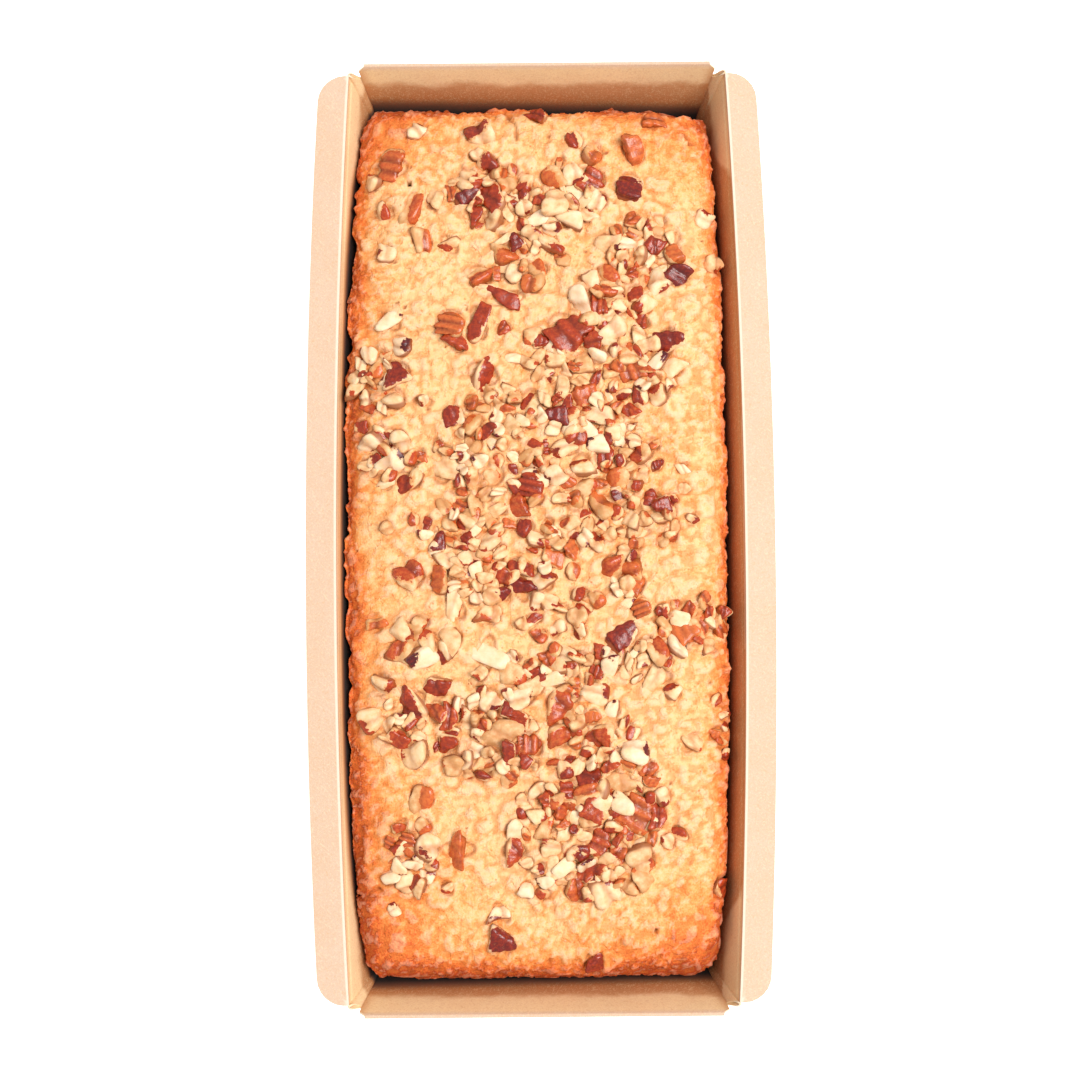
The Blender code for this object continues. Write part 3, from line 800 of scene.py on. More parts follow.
def mark_board(item):
    """Store how far above the butter line each inner point is, where the creases are, and where shade and
    highlights are painted.
    """
    co, facing = points_of(item.data), normals_of(item.data)
    x, y, z = co.T
    inward_x = facing[:, 0] * np.sign(x) < -0.3
    inward_y = (facing[:, 1] * np.sign(y) < -0.3) & (np.abs(y) > BASE_HALF_LENGTH)
    inner = (inward_x | inward_y) & (z < RIM_HEIGHT - 0.7 * MM)
    store(item.data, "stain", np.where(inner, (z - tide_line(x, y)) / MM, STAIN_FAR))
    above = (z - edge_height(*outline_place(x, y))) / MM
    # The bands of stain and painted gap shade are narrower on the left wall and near the corners.
    above *= np.where((x < 0.0) & inward_x, LEFT_STAIN_AND_SHADE_SQUEEZE, 1.0)
    above += np.where(inward_x, CORNER_STAIN_AND_SHADE_LIFT * soft_step(np.abs(y), 82 * MM, 100 * MM), 0.0)
    store(item.data, "to_crust", np.where(inner, above, STAIN_FAR))
    crease_x = SIDE_HALF_WIDTH + SIDE_BOW * (1.0 - (y / SIDE_HALF_LENGTH) ** 2)
    past = np.abs(x) - crease_x
    drop = RIM_HEIGHT - z
    long_wall = np.abs(y) < SIDE_HALF_LENGTH + 0.2 * MM
    white = long_wall & (np.abs(past) < CREASE_HALF) & (drop < CREASE_DROP)
    score = long_wall & (np.abs(drop - SCORE_DROP) < SCORE_HALF)
    shade = long_wall & (past < 0.0) & (drop > CREASE_DROP) & (drop < SHADE_DROP)
    level = z / RIM_HEIGHT
    to_edge = np.abs(x) - end_half(level)
    beyond = np.abs(y) - BASE_HALF_LENGTH - (SIDE_HALF_LENGTH - BASE_HALF_LENGTH) * level
    strip = (beyond > 0.05 * MM) & (to_edge > -0.1 * MM) & (past < 0.1 * MM)
    # The band just under the rim crease, inside, is painted shade.
    marks = 0.85 * white + 0.1 * score - 0.5 * shade
    # Painted light on each corner strip: a highlight on its near side, a shadow line where it passes behind
    # the end wall.
    painted_highlight = STRIP_PAINTED_HIGHLIGHT * soft_step(to_edge, 0.5 * MM, 1.8 * MM)
    dark = STRIP_PAINTED_SHADOW * (1.0 - soft_step(to_edge, 0.1 * MM, 0.8 * MM))
    store(item.data, "creases_and_painted_light", np.where(strip, (painted_highlight - dark) * soft_step(z, 36 * MM, 44 * MM), marks))
    # Marks the outside, where the finish paints shade.
    store(item.data, "outside", np.where(inner, 0.0, 1.0))


def make_board():
    """The whole folded sheet, centred on the frame's origin."""
    bm = bmesh.new()
    add_base(bm)
    for sign in (-1, 1):
        add_long_wall(bm, sign)
        add_end_wall(bm, sign)
        for end in (-1, 1):
            add_corner(bm, sign, end, -CURL_IN, 0.0)
            add_corner(bm, sign, end, CURL_OUT, CURL_START, SECOND_GAP)
    bmesh.ops.remove_doubles(bm, verts=bm.verts, dist=0.02 * MM)
    bmesh.ops.recalc_face_normals(bm, faces=bm.faces)
    item = link(bpy.data.objects.new("tray_board", mesh_from(bm, "tray_board")))
    finish_board(item)
    keep_between(item.data, 0.0, math.inf)
    mark_board(item)
    return item


def make_gussets():
    """Two layers of board folded flat against the outside of each end wall, at each corner."""
    bm = bmesh.new()
    for side, end in itertools.product((-1, 1), repeat=2):
        foot, up, out, height = end_sheet(end)
        reach = height - GUSSET_DROP
        across = np.array((side, 0.0, 0.0))
        for layer in GUSSET_LAYERS:
            shift = out * layer
            low = foot + up * GUSSET_FOOT + across * (BASE_HALF_WIDTH - BOARD / 2) + shift
            outer = foot + up * reach + across * (END_HALF_WIDTH - BOARD / 2) + shift
            inner = foot + up * reach + across * (END_HALF_WIDTH - GUSSET_WIDTH) + shift
            corners = [bm.verts.new(point) for point in (low, outer, inner)]
            bm.faces.new(corners if side * end > 0 else corners[::-1])
    item = link(bpy.data.objects.new("tray_gussets", mesh_from(bm, "tray_gussets")))
    finish_board(item)
    count = len(item.data.vertices)
    for name, value in (("stain", STAIN_FAR), ("to_crust", STAIN_FAR), ("creases_and_painted_light", 0.0), ("outside", 1.0)):
        store(item.data, name, np.full(count, value))
    return item


tray_board = make_board()
tray_gussets = make_gussets()
for piece in (tray_board, tray_gussets):
    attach(piece, "root")
    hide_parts("tray")
print("board:", len(tray_board.data.polygons), "faces; gussets:", len(tray_gussets.data.polygons))

# %% [markdown]
# ## Where the nuts lie
#
# A baker scatters chopped pecans by hand, so they land in drifts. Each drift has a middle
# and a reach, and a seeded draw fills it, as in the solid cake. The pieces that catch the
# eye are listed one by one, each with its own kind. The kinds are names for how much of a piece
# is still covered by its brown skin.

# %% Drifts and listed pieces
PECAN_SEED = 41
DRIFT_PIECES = 300
PIECE_SIZES = (2.8 * MM, 6.4 * MM)
SMALL_BIAS = 1.3
PIECE_SPACING = 0.42
SUNK_SHARE = 0.42
EDGE_MARGIN = 0.3 * MM

# In mm: middle (x, y), reach (x, y) and share of the pieces
DRIFTS = (
    (-8, 79.5, 13, 7, 26),
    (9, 80, 7, 7, 10),
    (24.5, 64, 8, 9, 24),
    (-1, 70, 6, 5, 8),
    (-5, 60, 7, 7, 8),
    (16, 52, 8, 7, 14),
    (5, 40, 8, 7, 12),
    (23, 38, 9, 7, 18),
    (-38.5, 36, 6, 8, 16),
    (-37, 18, 7, 7, 12),
    (-10, 27, 8, 7, 14),
    (5, 27, 8, 7, 12),
    (17, 22, 6, 13, 26),
    (-18, 15, 8, 6, 10),
    (-2, 13, 8, 8, 10),
    (19, 3, 13, 7, 28),
    (-17, 0, 10, 7, 18),
    (3, -3, 6, 5, 5),
    (-14, -11, 12, 6, 20),
    (19, -11, 5, 8, 8),
    (-28, -25, 8, 5, 7),
    (35, -22, 8, 6, 10),
    (21, -30, 11, 7, 12),
    (4, -34, 9, 6, 14),
    (-11, -42, 9, 6, 16),
    (8, -43, 7, 7, 10),
    (-32, -44, 8, 7, 8),
    (-12, -53, 9, 6, 16),
    (14, -54, 8, 6, 16),
    (4, -66, 11, 7, 24),
    (20, -67, 8, 8, 20),
    (10, -79, 12, 6, 18),
    (-31, -76, 7, 7, 14),
    (42, -48, 2.5, 8, 8),
    (0, -5, 38, 88, 12),
)

# In mm: middle (x, y), length, width, then heading in degrees and kind
SET_PIECES = (
    (-13.7, 94.8, 5.6, 4.8, 15, "half"),
    (-0.2, 100.2, 4.6, 3.6, -30, "skin"),
    (27.6, 98.6, 5.0, 4.2, 20, "skin"),
    (-28.4, 96.2, 4.2, 3.4, 60, "flesh"),
    (22.8, 90.4, 6.4, 4.8, -60, "skin"),
    (21.5, 81.8, 6.6, 5.0, 75, "dark"),
    (-34.9, 86.8, 8.0, 4.8, 10, "ridged"),
    (-39.0, 83.6, 4.4, 3.6, 70, "flesh"),
    (-29.8, 77.0, 7.0, 3.6, 80, "half"),
    (-11.4, 79.6, 6.6, 5.6, 10, "skin"),
    (-16.8, 83.6, 5.2, 4.6, 80, "flesh"),
    (-16.6, 79.2, 5.0, 3.2, 0, "dark"),
    (13.0, 83.6, 6.2, 4.6, -30, "ridged"),
    (-36.0, 66.0, 4.4, 3.6, 0, "flesh"),
    (-21.0, 68.0, 5.2, 2.8, -50, "half"),
    (39.2, 74.6, 4.4, 3.6, 60, "flesh"),
    (41.2, 63.4, 4.6, 4.0, -40, "flesh"),
    (-13.6, 60.5, 5.6, 3.4, -35, "half"),
    (-21.0, 49.2, 6.4, 5.6, 20, "ridged"),
    (-19.4, 44.6, 5.6, 3.4, -70, "skin"),
    (-14.2, 49.0, 8.0, 3.4, -75, "skin"),
    (-8.0, 54.8, 9.0, 3.4, 8, "skin"),
    (7.6, 46.8, 11.4, 6.8, -25, "ridged"),
    (10.0, 54.0, 6.2, 3.8, 35, "flesh"),
    (30.0, 44.0, 6.8, 4.4, 70, "dark"),
    (21.6, 36.8, 7.0, 3.8, 10, "ridged"),
    (-13.2, 36.8, 7.4, 5.0, -25, "skin"),
    (-43.2, 34.0, 5.0, 4.4, 0, "flesh"),
    (-34.2, 31.2, 5.2, 4.8, 10, "flesh"),
    (-20.2, 27.0, 4.6, 4.0, 0, "dark"),
    (3.6, 27.2, 5.0, 3.8, 10, "dark"),
    (-21.6, 14.6, 8.2, 4.6, 55, "slice"),
    (15.2, 17.6, 5.4, 3.8, 40, "skin"),
    (18.0, 12.2, 6.6, 4.2, 15, "half"),
    (-30.8, 11.8, 6.4, 3.8, -10, "half"),
    (14.2, 5.6, 6.2, 4.4, 0, "half"),
    (-20.0, -17.2, 8.0, 3.2, -60, "slice"),
    (-12.6, -29.0, 8.6, 3.8, 80, "slice"),
    (-4.8, -13.4, 7.2, 3.4, -70, "dark"),
    (3.4, -6.8, 5.0, 3.4, 40, "skin"),
    (-32.2, -27.8, 5.4, 4.8, 0, "half"),
    (-32.2, -23.4, 4.6, 4.2, 10, "flesh"),
    (-26.4, -25.4, 6.0, 4.0, -25, "half"),
    (36.8, -23.0, 4.6, 3.8, 30, "half"),
    (-30.0, -41.0, 8.0, 4.0, 55, "skin"),
    (-33.0, -48.6, 4.8, 3.8, 20, "skin"),
    (19.0, -25.2, 6.8, 4.6, 30, "dark"),
    (26.6, -34.0, 7.2, 3.6, -10, "slice"),
    (4.0, -41.2, 7.0, 4.8, -40, "skin"),
    (-9.6, -47.2, 8.0, 6.4, 60, "flesh"),
    (-2.4, -49.6, 6.0, 3.8, -50, "ridged"),
    (10.4, -57.2, 5.6, 4.8, 20, "skin"),
    (17.6, -59.0, 6.4, 4.6, 0, "flesh"),
    (22.0, -64.8, 8.0, 6.4, 35, "ridged"),
    (26.6, -66.4, 5.8, 3.6, 85, "skin"),
    (13.2, -71.8, 6.4, 4.0, -35, "ridged"),
    (-28.0, -62.0, 5.4, 4.4, -15, "half"),
    (-19.6, -73.8, 7.8, 3.6, 0, "skin"),
    (7.4, -83.4, 5.8, 4.4, -40, "skin"),
    (-31.4, -81.6, 4.6, 4.0, 20, "flesh"),
    (41.2, -83.4, 5.4, 3.6, 75, "skin"),
    (-9.4, -95.6, 5.4, 4.6, -20, "dark"),
    (11.6, -100.2, 5.0, 4.2, 75, "skin"),
)
KIND_SHARES = {"flesh": 50, "half": 31, "skin": 9, "dark": 3, "ridged": 2, "slice": 5}
CHIP_PIECES = 310
CHIP_SIZES = (2.8 * MM, 5.8 * MM)
CHIP_SPACING = 0.31
CHIP_SPREAD = 0.72
BURIED_PIECES = 330


def scatter_more(pieces, draw, wanted, sizes, spacing, kinds, spread=1.0):
    """Add seeded pieces to the list, drift by drift, where there is room for them."""
    shares = [drift[4] for drift in DRIFTS]
    goal = len(pieces) + wanted
    tries = 0
    while len(pieces) < goal and tries < 20 * wanted:
        tries += 1
        mid_x, mid_y, reach_x, reach_y, _ = draw.choices(DRIFTS, shares)[0]
        x = draw.gauss(mid_x, spread * reach_x / 2) * MM
        y = draw.gauss(mid_y, spread * reach_y / 2) * MM
        length = sizes[0] + (sizes[1] - sizes[0]) * draw.random() ** SMALL_BIAS
        width = length * draw.uniform(0.5, 0.95)
        heading = draw.uniform(0.0, 360.0)
        if min(inset(x, y)) < length / 2 + EDGE_MARGIN:
            continue
        if min(math.hypot(x - p[0], y - p[1]) / (length + p[2]) for p in pieces) < spacing:
            continue
        kind = kinds.choices(list(KIND_SHARES), list(KIND_SHARES.values()))[0]
        pieces.append((x, y, length, width, heading, kind))


def nut_layout():
    """Every nut as place, size, heading and kind: the listed ones, then the drifts, then chips.
    Some more lie under the batter, and show only as lumps in it."""
    draw = random.Random(PECAN_SEED)
    kinds = random.Random(PECAN_SEED + 7)
    pieces = [tuple(value * MM for value in piece[:4]) + piece[4:] for piece in SET_PIECES]
    scatter_more(pieces, draw, DRIFT_PIECES, PIECE_SIZES, PIECE_SPACING, kinds)
    scatter_more(pieces, draw, CHIP_PIECES, CHIP_SIZES, CHIP_SPACING, kinds, CHIP_SPREAD)
    under = list(pieces)
    scatter_more(under, draw, BURIED_PIECES, PIECE_SIZES, CHIP_SPACING, kinds, 1.0 / CHIP_SPREAD)
    return pieces, under[len(pieces):]


nuts, buried = nut_layout()
print("nuts:", len(nuts), {kind: sum(nut[5] == kind for nut in nuts) for kind in KIND_SHARES})

# %% [markdown]
# ## Noise for the crust
#
# The crust is a field of small cobbles where batter has bubbled and set. A cell pattern
# gives such cobbles: every cell has one seed point, and the distance to the nearest seed is
# the height of a rounded bump. Working it out in arrays keeps it quick for a hundred
# thousand points, and puts the bumps in the mesh and not only in its shading.

# %% Cell and cloud patterns
HASH = np.array((374761393, 668265263, 2147483587, 1274126177), dtype=np.uint64)
HASH_MASK = np.uint64(0xFFFFFFFF)
HASH_STEPS = ((np.uint64(13), HASH[3]), (np.uint64(15), HASH[1]))


def cell_draw(cell, salt):
    """A repeatable number from 0 to 1 for each whole-number cell."""
    x, y, z = (cell[:, i].astype(np.uint64) for i in range(3))
    mixed = (x * HASH[0] + y * HASH[1] + z * HASH[2] + np.uint64(salt) * HASH[3]) & HASH_MASK
    for move, factor in HASH_STEPS:
        mixed = ((mixed ^ (mixed >> move)) * factor) & HASH_MASK
    return (mixed ^ (mixed >> np.uint64(16))) / HASH_MASK


def cells(points, size, salt):
    """Distance to the nearest and second seed point, in cells, and the nearest one's draw."""
    q = points / size
    home = np.floor(q).astype(np.int64)
    near = np.full(len(q), 9.0)
    second = near.copy()
    pick = np.zeros(len(q))
    for step in itertools.product((-1, 0, 1), repeat=3):
        cell = home + np.array(step)
        seed = cell + np.stack([cell_draw(cell, salt + i) for i in range(3)], axis=1)
        far = np.linalg.norm(q - seed, axis=1)
        closer = far < near
        second = np.where(closer, near, np.minimum(second, far))
        pick = np.where(closer, cell_draw(cell, salt + 3), pick)
        near = np.where(closer, far, near)
    return near, second, pick


def cloud(points, size, salt):
    """Smooth noise from -1 to 1 with blotches of about the given size."""
    q = points / size
    home = np.floor(q).astype(np.int64)
    part = q - home
    part = part * part * (3.0 - 2.0 * part)
    total = np.zeros(len(q))
    for corner in itertools.product((0, 1), repeat=3):
        weight = np.prod(np.where(np.array(corner) == 1, part, 1.0 - part), axis=1)
        total += weight * cell_draw(home + np.array(corner), salt)
    return 2.0 * total - 1.0


# %% [markdown]
# ## The crust as a surface
#
# The smooth form of the loaf comes first: a grid over the top whose lines crowd together at
# the rounded shoulder, and rings that go down the hidden sides. Then each point moves along
# its normal by the relief: cobbles, clumps, pits, cracks, the seat of every nut, and the
# lumps over the nuts that lie under the batter.

# %% The smooth loaf
CRUST_CELL = 0.45 * MM
SHOULDER_ARC = 20
END_ARC = 26
SIDE_RINGS = 8


def crust_lines(half, reach, arc):
    """Grid lines from -1 to 1: even over the top, by equal turns round the shoulder."""
    turns = [math.pi / 2 * i / arc for i in range(arc)]
    near = [half - reach * (1.0 - math.cos(turn)) for turn in turns]
    inner = half - reach
    count = round(2.0 * inner / CRUST_CELL)
    middle = [inner - 2.0 * inner * i / count for i in range(count + 1)]
    return np.array(near + middle + [-value for value in reversed(near)])[::-1] / half


def round_corner(x, y, wide, long, radius):
    """Move points of a rectangle so that its corners become round."""
    over_x = np.abs(x) - (wide - radius)
    over_y = np.abs(y) - (long - radius)
    corner = (over_x > 0.0) & (over_y > 0.0)
    reach = np.where(corner, np.hypot(over_x, over_y), 1.0)
    pull = np.maximum(over_x, over_y) / reach
    new_x = np.sign(x) * (wide - radius + over_x * pull)
    new_y = np.sign(y) * (long - radius + over_y * pull)
    return np.where(corner, new_x, x), np.where(corner, new_y, y)


def outline_points(u, v, level):
    """Points of the cake's side at a share of the way up, for places round the outline."""
    z = CAKE_FLOOR + (edge_height(u, v) - CAKE_FLOOR) * level
    long = half_length(z)
    wide = half_width(v * long, z)
    radius = CORNER_RADIUS_BASE + (CORNER_RADIUS_TOP - CORNER_RADIUS_BASE) * level
    x, y = round_corner(u * wide, v * long, wide, long, radius)
    return np.stack([x, y, z], axis=1)


def smooth_loaf():
    """Points and faces of the smooth loaf, and the rows and columns of its top."""
    across = crust_lines(half_width(0.0, EDGE_HEIGHT_SIDES), SHOULDER_SIDES, SHOULDER_ARC)
    along = crust_lines(half_length(EDGE_HEIGHT_ENDS), SHOULDER_ENDS, END_ARC)
    grid_v, grid_u = np.meshgrid(along, across, indexing="ij")
    u, v = grid_u.ravel(), grid_v.ravel()
    edge = edge_height(u, v)
    long = half_length(edge)
    wide = half_width(v * long, edge)
    x, y = round_corner(u * wide, v * long, wide, long, CORNER_RADIUS_TOP)
    lumps = np.array([relief(a, b) for a, b in zip(x, y)])
    at_rim = np.maximum(np.abs(u), np.abs(v)) >= 1.0
    z = np.where(at_rim, edge, crust_height(x, y, lumps))
    top = np.stack([x, y, z], axis=1)

    columns, rows = len(across), len(along)
    index = np.arange(rows * columns).reshape(rows, columns)
    quads = np.stack([index[:-1, :-1], index[:-1, 1:], index[1:, 1:], index[1:, :-1]], axis=-1).reshape(-1, 4)
    ring = np.concatenate([index[0, :], index[1:, -1], index[-1, -2::-1], index[-2:0:-1, 0]])
    faces = quads.tolist()
    points = [top]
    upper, count = ring, len(top)
    for level in np.linspace(1.0, 0.0, SIDE_RINGS + 1)[1:]:
        points.append(outline_points(u[ring], v[ring], level))
        lower = np.arange(count, count + len(ring))
        count += len(ring)
        faces += np.stack([lower, np.roll(lower, -1), np.roll(upper, -1), upper], axis=1).tolist()
        upper = lower
    faces.append(upper[::-1].tolist())
    return np.concatenate(points), faces, (rows, columns)


loaf_points, loaf_faces, top_grid = smooth_loaf()
top_count = top_grid[0] * top_grid[1]
print("loaf:", len(loaf_points), "points,", top_count, "on top")

# %% [markdown]
# ## Browning
#
# The crust browns where it is thin, high or close to the hot board: along the edges, most at
# the corners. It stays pale in the middle. The amount is stored with the mesh, so the finish
# can follow it, and the cobbles stand out most where it is brown.

# %% Browning
EDGE_BROWN = 0.46
EDGE_BROWN_REACH = 6.0 * MM

# Browner areas in mm: middle (x, y), reach (x, y) and strength
BROWN_AREAS = (
    (-43, -94, 24, 20, 0.62),
    (40, -96, 20, 16, 0.58),
    (-40, 101, 19, 15, 0.66),
    (38, 101, 21, 14, 0.56),
    (-48, -35, 12, 60, 0.42),
    (-46, 55, 9, 38, 0.3),
    (48, -40, 10, 55, 0.42),
    (48, 50, 9, 50, 0.36),
    (0, -108, 46, 15, 0.5),
    (0, 108, 46, 9, 0.34),
    (-34, -62, 10, 9, 0.2),
    (28, 12, 10, 22, 0.12),
)


def browning(points):
    """How brown the crust is, from 0 in the pale middle to 1 at the darkest corner."""
    x, y, _ = points.T
    in_x, in_y = inset(x, y)
    to_edge = np.minimum(in_x, in_y * 0.9) + 1.6 * MM * cloud(points, 7 * MM, 51)
    brown = EDGE_BROWN * (1.0 - soft_step(to_edge, 0.2 * MM, EDGE_BROWN_REACH))
    for mid_x, mid_y, reach_x, reach_y, strength in BROWN_AREAS:
        far = ((x / MM - mid_x) / reach_x) ** 2 + ((y / MM - mid_y) / reach_y) ** 2
        brown += strength * np.exp(-far)
    brown += 0.13 * cloud(points, 10 * MM, 52) + 0.10 * cloud(points, 3.5 * MM, 53)
    low = soft_step(EDGE_HEIGHT_SIDES - points[:, 2], -2 * MM, 8 * MM)
    return np.clip(brown + 0.15 * low, 0.0, 1.25)


brown = browning(loaf_points)
print("browning:", round(brown.min(), 2), "to", round(brown.max(), 2))

# %% [markdown]
# ## Seats of the nuts
#
# Batter rises round a nut and sets as a hollow with a low lip; where it meets the nut there is
# a thin ring of browning with painted shadow. Where it has closed over one, it shows only as a
# lump with a faint line of painted shade round it.

# %% Seats of the nuts
SEAT_DEPTH = 0.5 * MM
SEAT_LINE = 0.36 * MM
LIP_HEIGHT = 0.3 * MM
LIP_PLACE = 0.7 * MM
LIP_WIDTH = 0.5 * MM
BURIED_RISE = 0.6 * MM
BURIED_LINE = 0.30 * MM


def round_nut(x, y, nut):
    """The points close to a nut, their places along and across it, and its mean radius."""
    nut_x, nut_y, length, width, heading, _ = nut
    near = np.flatnonzero((np.abs(x - nut_x) < length) & (np.abs(y - nut_y) < length))
    turn = math.radians(heading)
    dx, dy = x[near] - nut_x, y[near] - nut_y
    along = (dx * math.cos(turn) + dy * math.sin(turn)) / (length / 2)
    across = (dy * math.cos(turn) - dx * math.sin(turn)) / (width / 2)
    return near, along, across, (length + width) / 4


def nut_seats(points):
    """Height of the hollow and lip that the batter forms round each nut, and a ring of browning with painted
    shadow at its edge.
    """
    x, y, _ = points.T
    height = np.zeros(len(points))
    stain = np.zeros(len(points))
    for nut in nuts:
        near, along, across, radius = round_nut(x, y, nut)
        out = (np.hypot(along, across) - 1.0) * radius
        height[near] -= SEAT_DEPTH * (1.0 - soft_step(out, -0.6 * MM, 0.4 * MM))
        height[near] += LIP_HEIGHT * np.exp(-((out - LIP_PLACE) / LIP_WIDTH) ** 2)
        # A thin ring where the nut meets the crust: browning, with painted contact shadow.
        stain[near] = np.maximum(stain[near], np.exp(-((out - 0.05 * MM) / SEAT_LINE) ** 2))
    return height, stain


def buried_lumps(points):
    """Height of the batter over the nuts that lie under it, and a line round each, painted as shade."""
    x, y, _ = points.T
    height = np.zeros(len(points))
    line = np.zeros(len(points))
    for nut in buried:
        near, along, across, radius = round_nut(x, y, nut)
        out = ((np.abs(along) ** 3 + np.abs(across) ** 3) ** (1.0 / 3.0) - 1.0) * radius
        cover = BURIED_RISE * (1.0 - soft_step(out, -0.45 * MM, 0.25 * MM))
        height[near] = np.maximum(height[near], cover)
        line[near] = np.maximum(line[near], np.exp(-((out - 0.1 * MM) / BURIED_LINE) ** 2))
    return height, line


# %% [markdown]
# ## Cobbles, pits and cracks
#
# Three sizes of rounded bumps lie over each other, the largest bent the most, so that no
# cell looks like a tile. Small pits, a few deep holes and the places where the batter split
# are cut into them.

# %% Cobbles, pits and cracks
# Clumps, knobs and grains: cell size, least height, height added where it is rough (in mm),
# and the share of the cells that stay flat
DOME_LAYERS = (
    (4.2 * MM, 0.28, 0.60, 0.3),
    (1.9 * MM, 0.12, 0.64, 0.35),
    (1.1 * MM, 0.17, 0.28, 0.1),
)
PIT_CELL = 5.0 * MM
PIT_REACH = 0.12
PIT_DEPTH = 0.6 * MM
HOLE_DEPTH = 2.6 * MM
CRACK_HALF = 0.34 * MM
CRACK_DEPTH = 1.1 * MM

# Deep holes in mm: place and radius
HOLES = (
    (-3.9, 4.0, 1.15),
    (25.8, -93.4, 0.6),
    (-30.6, 83.0, 0.5),
)

# Cracks in mm, each a few points that the batter split along
CRACKS = (
    ((-8.0, 103), (-6.5, 99), (-5.5, 94)),
    ((-46, -84), (-42, -85), (-38.5, -83.5)),
    ((46, -20), (42.5, -22), (39.5, -24)),
    ((2, 105), (3.5, 101)),
    ((34, 96), (38, 92)),
)


def shifts(points, size, salt, reach):
    """A soft random shift of each point in every direction, with its reach in mm."""
    return np.stack([cloud(points, size, salt + i) for i in range(3)], axis=1) * reach * MM


def domes(points, size, salt, least):
    """Rounded bumps, one to a cell, of which those with a low draw stay flat."""
    near, second, draw = cells(points, size, salt)
    edge = soft_step(second - near, 0.0, 0.35)
    return np.clip(1.0 - near ** 2, 0.0, 1.0) * edge * np.clip((draw - least) / (1.0 - least), 0.0, 1.0)


def distance_to_line(x, y, line):
    """Distance from each point to a line of straight stretches."""
    best = np.full(len(x), 1.0)
    for (ax, ay), (bx, by) in zip(line, line[1:]):
        dx, dy = bx - ax, by - ay
        share = np.clip(((x - ax) * dx + (y - ay) * dy) / (dx * dx + dy * dy), 0.0, 1.0)
        best = np.minimum(best, np.hypot(x - ax - share * dx, y - ay - share * dy))
    return best


def crust_relief(points, brown):
    """Height of the clumps, knobs, pits and cracks, and how hollow each point is."""
    bend = shifts(points, 1.7 * MM, 61, 0.45)
    wide_bend = shifts(points, 4.0 * MM, 64, 1.1) + bend
    rough = soft_step(cloud(points, 12 * MM, 55) + 1.3 * brown, -0.1, 1.1)
    height = np.zeros(len(points))
    for number, (size, base, more, flat) in enumerate(DOME_LAYERS):
        bent = points + (bend if number else wide_bend)
        height += (base + more * rough) * MM * domes(bent, size, 70 + 10 * number, flat)
    height += (0.15 + 0.16 * rough) * MM * cloud(points + bend, 0.85 * MM, 95)
    height += 0.16 * MM * cloud(points, 2.7 * MM, 96)

    pit_near, _, pit_draw = cells(points * (1.0, 1.0, 0.0) + bend, PIT_CELL, 100)
    reach = PIT_REACH * (0.4 + 0.8 * pit_draw)
    pit = (1.0 - soft_step(pit_near, 0.3 * reach, reach)) * (pit_draw > 0.5)
    x, y, _ = points.T
    hole = np.zeros(len(points))
    for hole_x, hole_y, radius in HOLES:
        far = np.hypot(x - hole_x * MM, y - hole_y * MM) + 0.5 * bend[:, 0]
        hole = np.maximum(hole, 1.0 - soft_step(far, 0.55 * radius * MM, radius * MM))
    wobble_x = x + 1.1 * MM * cloud(points, 1.9 * MM, 111)
    wobble_y = y + 1.1 * MM * cloud(points, 1.9 * MM, 112)
    crack = np.zeros(len(points))
    for line in CRACKS:
        far = distance_to_line(wobble_x, wobble_y, [(a * MM, b * MM) for a, b in line])
        crack = np.maximum(crack, 1.0 - soft_step(far, 0.2 * CRACK_HALF, 2.2 * CRACK_HALF))
    crack *= 0.5 + 0.5 * soft_step(cloud(points, 3.0 * MM, 113), -0.4, 0.3)
    height -= PIT_DEPTH * pit + CRACK_DEPTH * crack + HOLE_DEPTH * hole
    return height, np.maximum(0.8 * pit, 0.75 * crack), hole


height, hollow, hole = crust_relief(loaf_points, brown)
print("bumps and pits, mm:", round(height.min() / MM, 2), "to", round(height.max() / MM, 2))

# %% [markdown]
# ## Moving the points
#
# The edge shrinks back from the board by an uneven amount as the loaf bakes. Then every point
# moves along its normal. How far it stands above its neighbours is kept too, for painted light:
# raised spots are painted paler and hollows darker.

# %% Move the points
BITE_REACH = 3.4 * MM
END_BITE_REACH = 5.4 * MM
BITE_SIDES = 0.3 * MM
BITE_FAR = 1.1 * MM
BITE_NEAR = 0.05 * MM
CORNER_BITE = 2.6 * MM
BLUR_STEPS = 3
CAVITY_RANGE = 0.34 * MM
OUTWARD_LIMIT = 0.42 * MM
SIDE_RELIEF = (-0.3 * MM, 0.2 * MM)


def local_mean(field, steps):
    """Average of a field on the top's grid over a square of steps each way."""
    grid = field[:top_count].reshape(top_grid)
    for axis in (0, 1):
        wide = np.pad(grid, [(steps, steps) if i == axis else (0, 0) for i in range(2)], mode="edge")
        size = grid.shape[axis]
        count = 2 * steps + 1
        grid = sum(np.take(wide, range(i, i + size), axis=axis) for i in range(count)) / count
    return np.concatenate([grid.ravel(), field[top_count:]])


def ragged_edge(points):
    """Pull the crust's edge in from the board by an uneven amount, as batter sets."""
    x, y, _ = points.T
    in_x, in_y = inset(x, y)
    uneven = soft_step(cloud(points, 8.0 * MM, 123), -0.5, 0.6)
    bite = 1.0 * MM * cloud(points, 4.6 * MM, 121) + 1.1 * MM * uneven * cloud(points, 2.0 * MM, 122)
    far_end = BITE_FAR + CORNER_BITE * soft_step(x, 27 * MM, 42 * MM)
    bite_ends = np.maximum(bite + np.where(y > 0.0, far_end, BITE_NEAR), 0.0)
    bite_sides = np.maximum(bite + BITE_SIDES, 0.0)
    moved = points.copy()
    moved[:, 0] -= np.sign(x) * bite_sides * (1.0 - soft_step(in_x, 0.0, BITE_REACH))
    moved[:, 1] -= np.sign(y) * bite_ends * (1.0 - soft_step(in_y, 0.0, END_BITE_REACH))
    return moved


